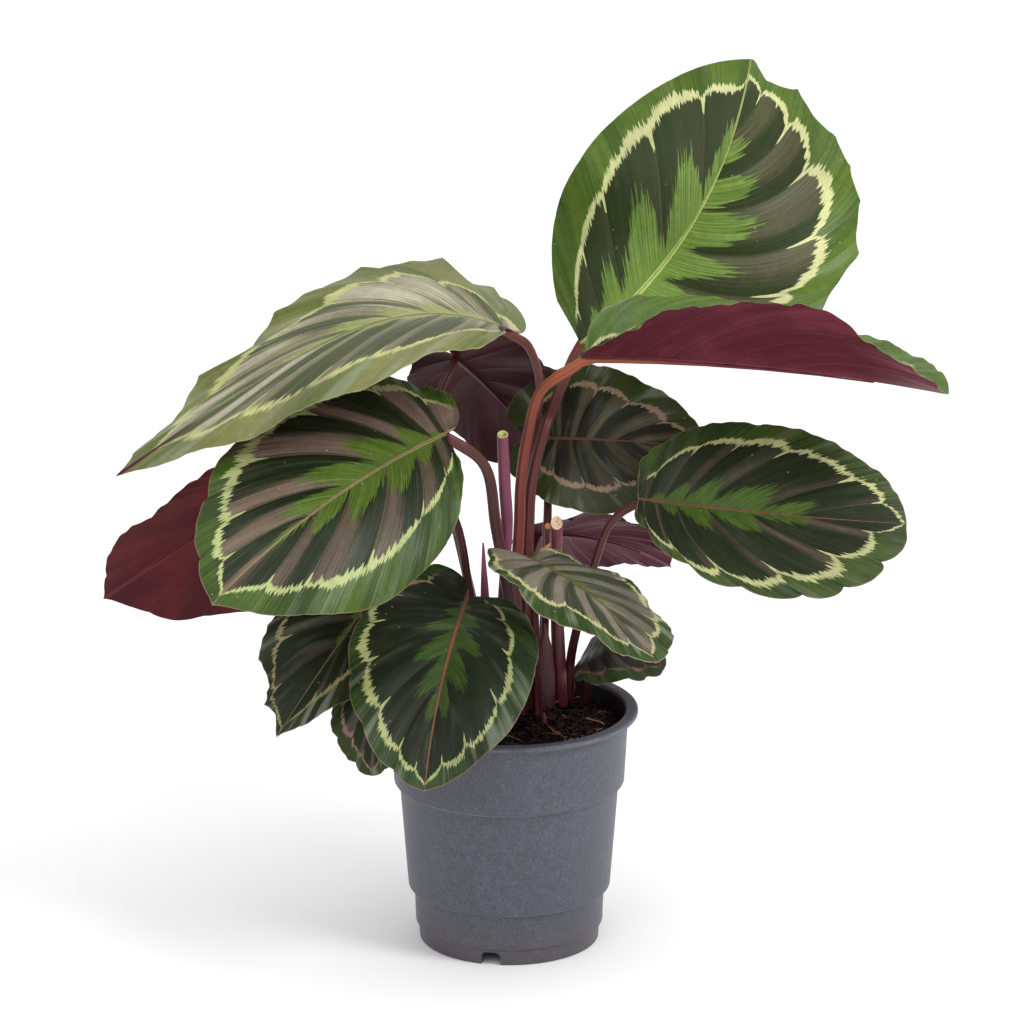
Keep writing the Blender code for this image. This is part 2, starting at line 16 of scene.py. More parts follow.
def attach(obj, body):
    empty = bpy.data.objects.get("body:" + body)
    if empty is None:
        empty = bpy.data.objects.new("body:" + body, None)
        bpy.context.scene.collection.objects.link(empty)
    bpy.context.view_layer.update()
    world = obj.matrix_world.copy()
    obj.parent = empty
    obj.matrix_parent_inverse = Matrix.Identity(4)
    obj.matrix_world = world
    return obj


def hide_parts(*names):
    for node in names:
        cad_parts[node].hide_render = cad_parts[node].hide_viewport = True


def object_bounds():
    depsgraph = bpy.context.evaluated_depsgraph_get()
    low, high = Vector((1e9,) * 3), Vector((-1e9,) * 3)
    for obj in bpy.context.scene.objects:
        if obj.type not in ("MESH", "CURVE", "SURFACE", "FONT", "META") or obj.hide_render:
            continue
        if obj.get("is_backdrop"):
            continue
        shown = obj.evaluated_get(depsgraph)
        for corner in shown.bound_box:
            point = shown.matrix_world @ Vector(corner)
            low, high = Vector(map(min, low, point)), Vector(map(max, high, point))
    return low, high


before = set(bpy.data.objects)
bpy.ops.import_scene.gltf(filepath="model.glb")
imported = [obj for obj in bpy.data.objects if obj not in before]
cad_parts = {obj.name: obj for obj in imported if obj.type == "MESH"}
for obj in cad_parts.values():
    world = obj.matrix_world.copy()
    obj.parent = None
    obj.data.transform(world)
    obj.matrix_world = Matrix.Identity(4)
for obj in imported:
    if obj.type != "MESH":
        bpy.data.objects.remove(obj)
MM = 0.001
cad_low, cad_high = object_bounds()
print("measured pieces:", len(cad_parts))

# %% [markdown]
# ## Camera
#
# The plant is seen from a little above the rim of its pot, from far away with a long lens, so that near
# and far leaves keep almost the same scale. A camera that looks along +Y and is pitched down does this.

# %% Camera
PITCH_DOWN = 16.85

lens = bpy.data.cameras.new("camera")
lens.sensor_width = 36.0
lens.lens = 199.6
lens.clip_end = 50.0
camera = bpy.data.objects.new("camera", lens)
camera.location = (0.0013, -2.5, 0.964)
camera.rotation_euler = (math.radians(90.0 - PITCH_DOWN), 0.0, 0.0)
bpy.context.scene.collection.objects.link(camera)
bpy.context.scene.camera = camera
print("lens:", lens.lens, "mm")

# %% [markdown]
# ## Colours
#
# A colour that is read from a screen is coded for the screen. Blender mixes light in linear values, so
# a small helper turns the familiar 0 to 255 numbers into what a shader expects.


# %% Screen colours to shader colours
def paint(red, green, blue):
    """A shader colour from the 0 to 255 values of a screen."""
    linear = []
    for value in (red, green, blue):
        share = value / 255.0
        linear.append(share / 12.92 if share <= 0.04045 else ((share + 0.055) / 1.055) ** 2.4)
    return (*linear, 1.0)


print("mid grey in linear light:", round(paint(128, 128, 128)[0], 3))

# %% [markdown]
# ## Light and floor
#
# Plain studio light is soft and comes from all sides, with one large lamp that gives the leaves their
# sheen. The world colour gives the even part. A wide area lamp from the upper right gives the direction,
# and a weaker one opens the shadows on the left. The floor is a plain pale plane.


# %% Light and floor
def area_lamp(name, place, size, watts):
    """A soft square lamp that looks at the middle of the plant."""
    data = bpy.data.lights.new(name, "AREA")
    data.size = size
    data.energy = watts
    lamp = bpy.data.objects.new(name, data)
    lamp.location = place
    lamp.rotation_euler = (Vector((0.0, 0.0, 0.2)) - Vector(place)).to_track_quat("-Z", "Y").to_euler()
    bpy.context.scene.collection.objects.link(lamp)
    return lamp


def studio_sky(horizon, zenith):
    """White light from everywhere, stronger from above."""
    world = bpy.data.worlds.new("studio")
    world.use_nodes = True
    nodes, links = world.node_tree.nodes, world.node_tree.links
    place = nodes.new("ShaderNodeTexCoord")
    split = nodes.new("ShaderNodeSeparateXYZ")
    level = nodes.new("ShaderNodeMapRange")
    level.inputs["To Min"].default_value = horizon
    level.inputs["To Max"].default_value = zenith
    links.new(place.outputs["Generated"], split.inputs[0])
    links.new(split.outputs["Z"], level.inputs["Value"])
    nodes["Background"].inputs["Color"].default_value = (1.0, 1.0, 1.0, 1.0)
    links.new(level.outputs["Result"], nodes["Background"].inputs["Strength"])
    bpy.context.scene.world = world


studio_sky(0.5, 1.36)
bpy.context.scene.view_settings.view_transform = "Standard"
area_lamp("key_lamp", (1.6, -1.0, 1.7), 0.8, 26.0)
area_lamp("fill_lamp", (-0.6, -1.7, 1.6), 1.0, 4.0)

floor_mesh = bpy.data.meshes.new("floor")
floor_mesh.from_pydata([(-9, -9, 0), (9, -9, 0), (9, 9, 0), (-9, 9, 0)], [], [(0, 1, 2, 3)])
floor = bpy.data.objects.new("floor", floor_mesh)
floor.location.z = -0.0002
bpy.context.scene.collection.objects.link(floor)
floor_paint = bpy.data.materials.new("floor_paint")
floor_paint.use_nodes = True
floor_shader = floor_paint.node_tree.nodes["Principled BSDF"]
floor_shader.inputs["Base Color"].default_value = (0.95, 0.95, 0.95, 1.0)
floor_shader.inputs["Roughness"].default_value = 0.9
floor_mesh.materials.append(floor_paint)
floor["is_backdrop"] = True

# %% [markdown]
# ## A finish, node by node
#
# Every surface here gets a procedural material: noise, thresholds and mixes that follow the surface.
# Building node trees by hand takes many lines, so the Finish helper has one short method for each kind
# of node. Each method adds its node and returns the output, and the calls then read like a formula.


# %% The Finish helper
class Finish:
    """A material under construction."""

    def __init__(self, name):
        self.material = bpy.data.materials.new(name)
        self.material.use_nodes = True
        self.tree = self.material.node_tree
        self.shader = self.tree.nodes["Principled BSDF"]

    def put(self, socket, value):
        """Links an output to a socket, or sets a plain value on it."""
        if isinstance(value, bpy.types.NodeSocket):
            self.tree.links.new(value, socket)
        elif value is not None:
            socket.default_value = value

    def math(self, operation, a, b=None, c=None):
        node = self.tree.nodes.new("ShaderNodeMath")
        node.operation = operation
        for socket, value in zip(node.inputs, (a, b, c)):
            self.put(socket, value)
        return node.outputs[0]

    def number(self, name):
        """A value that the mesh holds at each of its points."""
        node = self.tree.nodes.new("ShaderNodeAttribute")
        node.attribute_name = name
        return node.outputs["Fac"]

    def place(self):
        """The point on the surface, in metres."""
        return self.tree.nodes.new("ShaderNodeTexCoord").outputs["Object"]

    def pack(self, x, y, z):
        node = self.tree.nodes.new("ShaderNodeCombineXYZ")
        for socket, value in zip(node.inputs, (x, y, z)):
            self.put(socket, value)
        return node.outputs[0]

    def parts(self, vector):
        """The three parts of a vector."""
        node = self.tree.nodes.new("ShaderNodeSeparateXYZ")
        self.put(node.inputs[0], vector)
        return tuple(node.outputs)

    def stretch(self, vector, scale):
        node = self.tree.nodes.new("ShaderNodeVectorMath")
        node.operation = "MULTIPLY"
        self.put(node.inputs[0], vector)
        node.inputs[1].default_value = scale
        return node.outputs[0]

    def noise(self, vector, scale=1.0, detail=1.0, roughness=0.5):
        node = self.tree.nodes.new("ShaderNodeTexNoise")
        self.put(node.inputs["Vector"], vector)
        node.inputs["Scale"].default_value = scale
        node.inputs["Detail"].default_value = detail
        node.inputs["Roughness"].default_value = roughness
        return node.outputs["Fac"]

    def specks(self, vector, scale):
        """How far the point is from the nearest of many scattered specks, in cells."""
        node = self.tree.nodes.new("ShaderNodeTexVoronoi")
        self.put(node.inputs["Vector"], vector)
        node.inputs["Scale"].default_value = scale
        return node.outputs["Distance"]

    def step(self, value, low, high):
        """A soft step from 0 at low to 1 at high."""
        node = self.tree.nodes.new("ShaderNodeMapRange")
        node.interpolation_type = "SMOOTHSTEP"
        self.put(node.inputs["Value"], value)
        self.put(node.inputs["From Min"], low)
        self.put(node.inputs["From Max"], high)
        return node.outputs["Result"]

    def mix(self, share, a, b, kind="MIX"):
        node = self.tree.nodes.new("ShaderNodeMix")
        node.data_type = "RGBA"
        node.blend_type = kind
        self.put(node.inputs["Factor"], share)
        # This node has a set of sockets for each data type. Those for colours are numbers 6 and 7, and 2.
        self.put(node.inputs[6], a)
        self.put(node.inputs[7], b)
        return node.outputs[2]

    def grain(self, height, distance, strength=1.0):
        """Bump: height is a share, and distance is how high a share of 1 stands, in metres."""
        node = self.tree.nodes.new("ShaderNodeBump")
        node.inputs["Distance"].default_value = distance
        node.inputs["Strength"].default_value = strength
        self.put(node.inputs["Height"], height)
        self.put(self.shader.inputs["Normal"], node.outputs["Normal"])

    def done(self, colour, roughness, shine=0.5):
        """Ends the material. Shine is how strongly the surface mirrors, and 0.5 is usual for plastic."""
        self.shader.inputs["Specular IOR Level"].default_value = shine
        self.put(self.shader.inputs["Base Color"], colour)
        self.put(self.shader.inputs["Roughness"], roughness)
        return self.material


print("Finish has", len([name for name in dir(Finish) if not name.startswith("_")]), "kinds of step")


# %% [markdown]
# ## Meshes in millimetres
#
# The plant is measured in millimetres and Blender works in metres. One helper makes an object from points in
# millimetres, hangs it on the plant, hides the measured piece that it stands for and smooths its faces, leaving edges
# sharper than 50 degrees crisp.


# %% The mesh helper
def new_piece(name, points, faces, materials, stands_for=(), sharp=50.0):
    """An object of the plant, from points in millimetres."""
    mesh = bpy.data.meshes.new(name)
    mesh.from_pydata((np.asarray(points, float) * MM).tolist(), [], faces)
    for material in materials:
        mesh.materials.append(material)
    mesh.shade_smooth()
    mesh.set_sharp_from_angle(angle=math.radians(sharp))
    piece = bpy.data.objects.new(name, mesh)
    bpy.context.scene.collection.objects.link(piece)
    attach(piece, "root")
    if stands_for:
        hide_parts(*stands_for)
    return piece


def add_number(piece, name, values):
    """Stores one value for each point, for the material to read."""
    attribute = piece.data.attributes.new(name, "FLOAT", "POINT")
    attribute.data.foreach_set("value", np.asarray(values, np.float32))


def unit(vector):
    vector = np.asarray(vector, float)
    return vector / np.linalg.norm(vector, axis=-1, keepdims=True)


# %% [markdown]
# ## The form of a leaf blade
#
# A calathea blade is an oval sheet on a midrib. Its side veins leave the midrib at a slant and curve
# towards the tip, and everything else follows them: the pattern, the pleats and the waves of the margin.
# So a point of the blade is named by the vein that it lies on, q from 0 at the base to 1 at the tip, and
# by how far out it lies on that vein, t from -1 at the left margin through 0 to 1 at the right one.
# Drawing an outline and filling it would be quicker, but then nothing would follow the veins.


# %% Midrib and margin
LOBE_START = 0.10


def margin(q, length, width, lobe, belly, taper):
    """Where the side vein q ends on the margin: distance along the midrib, distance from it."""
    turn = LOBE_START + (1.0 - LOBE_START) * q
    share = 0.5 - 0.5 * np.cos(math.pi * turn)
    peak = belly / (belly + taper)
    full = peak**belly * (1.0 - peak) ** taper
    reach = np.maximum(share, 0.0) ** belly * np.maximum(1.0 - share, 0.0) ** taper / full
    return -lobe + (length + lobe) * share, 0.5 * width * reach


def bend_half(distance, fold, curl, half):
    """Offsets of a half blade that leaves the midrib at fold and has turned by curl at its margin."""
    curl = curl + 1e-6
    angle = fold + curl * distance / half
    across = half / curl * (np.sin(angle) - np.sin(fold))
    up = half / curl * (np.cos(fold) - np.cos(angle))
    return across, up


def three_way(values, s):
    """A smooth run through a value at the base, one at the middle and one at the tip."""
    base, middle, tip = values
    return base * (1.0 - s) * (1.0 - 2.0 * s) + 4.0 * middle * s * (1.0 - s) + tip * s * (2.0 * s - 1.0)


def midrib(leaf, s):
    """Points and directions of the midrib at the shares s of its length."""
    base = np.array(leaf["base"], float)
    axis = np.array(leaf["tip"], float) - base
    up = unit(np.array(leaf["face"], float) - np.dot(leaf["face"], unit(axis)) * unit(axis))
    side = np.cross(unit(axis), up)
    s = np.asarray(s, float)[..., None]
    end = np.maximum(s - 0.75, 0.0) / 0.25
    bow = leaf["arch"] * up + leaf["sway"] * side
    early = 6.75 * leaf["crest"] * up
    droop = leaf["droop"] * up
    points = base + axis * s + 4.0 * s * (1.0 - s) * bow + s * (1.0 - s) ** 2 * early - end**2 * droop
    slope = 4.0 * (1.0 - 2.0 * s) * bow + (1.0 - s) * (1.0 - 3.0 * s) * early - 8.0 * end * droop
    along = unit(axis + slope)
    normal = unit(up - np.sum(up * along, axis=-1, keepdims=True) * along)
    return points, along, np.cross(along, normal), normal


# %% [markdown]
# ## The sheet of the blade
#
# The sheet is folded along the midrib, curled towards its margins and waved. On top of that come the
# fine forms that make it look grown. The main side veins divide each half into sectors. Each sector
# swells a little between its veins, and at the margin it ends in a scallop of its own, so the corners of
# the margin sit where the veins end. A last ripple keeps any edge from being a clean curve.


# %% A point of the blade
RIPPLE = 0.3
PLEAT_SPACING = 6.5
PLEAT_HEIGHT = 0.16
RING_STOPS = (0.0, 0.15, 0.3, 0.45, 0.6, 0.75, 0.9, 1.0)


def scallops(q, corners):
    """0 at each corner of the margin and 1 half way between two, and how wide that stretch is."""
    corners = np.array([min(0.0, corners[0] - 0.1), *corners, 1.0])
    k = np.clip(np.searchsorted(corners, q, side="right") - 1, 0, len(corners) - 2)
    width = corners[k + 1] - corners[k]
    share = np.clip((q - corners[k]) / width, 0.0, 1.0)
    return (4.0 * share * (1.0 - share)) ** 0.6, np.minimum(1.5, width / 0.11)


def sectors(q, veins):
    """Counts the stretches between main veins: it grows by one from each vein to the next."""
    return np.interp(q, (-0.1, *veins, 1.03), np.arange(len(veins) + 2))


def to_line(points, line):
    """The distance of each point to the nearest stretch of a line through the given corners."""
    starts, steps = line[:-1], line[1:] - line[:-1]
    offset = points[:, None, :] - starts[None]
    share = np.clip(np.sum(offset * steps, axis=-1) / (np.sum(steps * steps, axis=-1) + 1e-12), 0.0, 1.0)
    return np.sqrt(np.min(np.sum((offset - share[..., None] * steps) ** 2, axis=-1), axis=1))


def blade_surface(leaf, q, t):
    """Middle surface of a blade, with what its material needs to know about each point."""
    length = float(np.linalg.norm(np.array(leaf["tip"], float) - np.array(leaf["base"], float)))
    half = 0.5 * leaf["width"]
    left = t < 0
    by_side = {name: np.where(left, *leaf[name]) for name in
               ("lobe", "belly", "taper", "curl", "slant", "swell", "scallop", "lift")}
    edge_x, edge_y = margin(q, length, leaf["width"], by_side["lobe"], by_side["belly"], by_side["taper"])
    edge_x = edge_x + leaf["point"] * np.maximum(0.0, q * 6.0 - 5.0) ** 3
    slanted = (1.0 - np.sqrt(1.0 - q)) ** 1.35
    root_x = length * (q**1.7 + by_side["slant"] * (slanted - q**1.7))
    out = np.abs(t)
    # Near the base, the veins turn back round the lobe, so that it ends in a round.
    back = np.exp(-q / 0.06)
    ahead = 0.5 * out + 0.5 * out**2.2
    x = root_x + (edge_x - root_x) * (ahead + back * (np.sin(0.5 * math.pi * out) - ahead))
    y = edge_y * (out + back * (1.0 - np.cos(0.5 * math.pi * out) - out))
    stretch = [sectors(q, veins) for veins in leaf["veins"]]
    sector = np.where(left, *stretch) % 1.0
    arc = (4.0 * sector * (1.0 - sector)) ** 0.6
    lobes, breadth = (np.where(left, a, b) for a, b in zip(*(scallops(q, corners) for corners in leaf["corners"])))
    lobes = breadth * (lobes - np.where(by_side["scallop"] < 0.0, 0.0, 0.7))
    ripple = np.sin(2.0 * math.pi * (11.3 * q + np.where(left, 0.3, 0.5))) + np.sin(2.0 * math.pi * 19.7 * q)
    room = np.clip(edge_y / half * 2.5 - 0.2, 0.0, 1.0) * np.clip((1.0 - q) * 14.0, 0.0, 1.0)
    ends = np.clip(edge_y / half * 5.0, 0.0, 1.0) * np.clip((1.0 - q) * 16.0, 0.0, 1.0)
    bump = (ends * by_side["scallop"] * lobes + 0.4 * RIPPLE * room * ripple) * out**6
    turn = math.pi * (LOBE_START + (1.0 - LOBE_START) * q)
    x = x - bump * np.cos(turn)
    y = y + bump * np.sin(turn)
    share = np.clip(x / length, 0.0, 1.0)
    flat_x, flat_y = x, y * np.where(left, -1.0, 1.0)
    folds = three_way(leaf["fold_left"], share), three_way(leaf["fold_right"], share)
    across, up = bend_half(y, np.radians(np.where(left, *folds)), np.radians(by_side["curl"]), half)
    size, waves, phase = leaf["wave"]
    beat = 2.0 * math.pi * waves * q + np.radians(phase) + np.where(left, 0.0, 2.0)
    up = up + size * out**2 * np.sin(beat) * np.minimum(1.0, 2.2 * edge_y / half - 0.2)
    pleats = np.abs(np.sin(math.pi * q * round(length / PLEAT_SPACING))) - 0.6
    up = up + by_side["swell"] * (arc - 0.5) * room * np.sin(math.pi * out**0.8)
    up = up + room * (by_side["lift"] * lobes * out**3 + RIPPLE * ripple * out**4)
    up = up + room * PLEAT_HEIGHT * pleats * np.sqrt(out)
    points, _, side, normal = midrib(leaf, x / length)
    points = points + side * (across * np.where(left, -1.0, 1.0))[..., None] + normal * up[..., None]
    facts = {
        "vein": q + 0.0 * t,
        "across": t + 0.0 * q,
        "reach": (out**5 + np.clip(x / length, 0.0, 1.2) ** 17) ** 0.2,
        "along": x / length,
        "rib_mm": y,
        "flat_x": flat_x + 0.0 * t,
        "flat_y": flat_y + 0.0 * t,
    }
    for side, count, line in zip(("left", "right"), stretch, leaf["ring"]):
        facts["sector_" + side] = count + 0.0 * t
        facts["ring_" + side] = np.interp(q, RING_STOPS, line) + 0.0 * t
    return points, facts


# %% [markdown]
# ## From sheet to leaf
#
# A leaf is thin but not flat paper: it has an upper face, an underside and a narrow rim between them.
# The sheet is moved half its thickness along its normals to either side, and the rim closes it. The
# upper face and the underside get a material each, because a calathea is green above and purple below.


# %% A closed blade
LEAF_THICKNESS = 0.5
ROW_SPACING = 1.5
COLUMN_SPACING = 2.6


def fine_blade(leaf):
    """Points, faces, the material of each face, and the facts about each point."""
    length = float(np.linalg.norm(np.array(leaf["tip"], float) - np.array(leaf["base"], float)))
    rows = int(1.5 * length / ROW_SPACING)
    columns = int(0.5 * leaf["width"] / COLUMN_SPACING) + 4
    across = 2 * columns + 1
    q, t = np.meshgrid(1.0 - (1.0 - np.arange(rows) / rows) ** 1.6, np.linspace(-1, 1, across), indexing="ij")
    sheet, facts = blade_surface(leaf, q, t)
    tip, tip_facts = blade_surface(leaf, np.array([1.0]), np.array([0.0]))
    points = np.concatenate([sheet.reshape(-1, 3), tip])
    facts = {name: np.concatenate([facts[name].ravel(), tip_facts[name].ravel()]) for name in facts}
    last = len(points) - 1
    flat_x, flat_y = facts.pop("flat_x"), facts.pop("flat_y")
    outline = [row * across for row in range(rows)] + [last]
    outline += [row * across + across - 1 for row in range(rows - 1, -1, -1)]
    flat_points = np.stack([flat_x, flat_y], axis=1)
    facts["rim_mm"] = to_line(flat_points, flat_points[outline + outline[:1]])
    row, column = np.meshgrid(np.arange(rows - 1), np.arange(across - 1), indexing="ij")
    a = (row * across + column).ravel()
    quads = np.stack([a, a + 1, a + across + 1, a + across], axis=1)
    start = (rows - 1) * across + np.arange(across - 1)
    fan = np.stack([start, start + 1, np.full(across - 1, last)], axis=1)
    flat = np.concatenate([quads[:, :3], quads[:, [0, 2, 3]], fan])
    corners = points[flat]
    facing = np.cross(corners[:, 1] - corners[:, 0], corners[:, 2] - corners[:, 0])
    normals = np.zeros_like(points)
    for k in range(3):
        np.add.at(normals, flat[:, k], facing)
    normals = unit(normals)
    thin = 0.5 * LEAF_THICKNESS * np.clip(0.45 + 0.25 * facts["rim_mm"], 0.45, 1.0)[:, None]
    below = len(points)
    loop = list(range(across)) + [i * across + across - 1 for i in range(1, rows)] + [last]
    loop += [i * across for i in range(rows - 1, 0, -1)]
    upper = [tuple(face) for face in quads.tolist()] + [tuple(face) for face in fan.tolist()]
    under = [tuple(v + below for v in face[::-1]) for face in upper]
    rim = [(b, a, a + below, b + below) for a, b in zip(loop, loop[1:] + loop[:1])]
    slots = [0] * len(upper) + [1] * len(under) + [2] * len(rim)
    solid = np.concatenate([points + normals * thin, points - normals * thin])
    return solid, upper + under + rim, slots, {name: np.tile(facts[name], 2) for name in facts}


# %% [markdown]
# ## The fourteen leaves
#
# Each leaf is given by the two ends of its midrib, the way its upper face looks, and its size and bends.
# A scallop is how far each sector reaches past the margin between its veins, and a negative one leaves
# the veins' ends standing out as corners. A lift is the same, up out of the sheet.


# %% The leaves
PLAIN_RING = (0.50, 0.60, 0.70, 0.76, 0.80, 0.83, 0.90, 0.98)
PLAIN_VEINS = ((0.12, 0.28, 0.45, 0.6, 0.76, 0.88), (0.1, 0.24, 0.42, 0.58, 0.75, 0.88))


def make_leaf(name, base, tip, face, width, lobe=(15.0, 15.0), belly=(0.5, 0.5), taper=(0.62, 0.62), arch=4.0,
              crest=0.0, sway=0.0, droop=0.0, fold_left=(8.0, 8.0, 8.0), fold_right=(8.0, 8.0, 8.0),
              curl=(-12.0, -12.0), wave=(2.0, 3.5, 0.0), point=3.0, slant=(1.0, 1.0),
              corners=((0.1, 0.25, 0.4, 0.56, 0.72, 0.86), (0.08, 0.2, 0.33, 0.5, 0.66, 0.82)),
              swell=(0.9, 0.9), scallop=(0.8, 0.8), lift=(0.5, 0.5), veins=PLAIN_VEINS,
              ring=(PLAIN_RING, PLAIN_RING)):
    """Lengths in millimetres, angles in degrees. A pair is (left half, right half) seen from above,
    a fold is (at the base, at the middle, at the tip), and a wave is (height, number of waves, start)."""
    return dict(name=name, base=base, tip=tip, face=face, width=width, lobe=lobe, belly=belly, taper=taper,
                arch=arch, crest=crest, sway=sway, droop=droop, fold_left=fold_left, fold_right=fold_right,
                curl=curl, wave=wave, point=point, slant=slant, corners=corners, swell=swell, scallop=scallop,
                lift=lift, veins=veins, ring=ring)


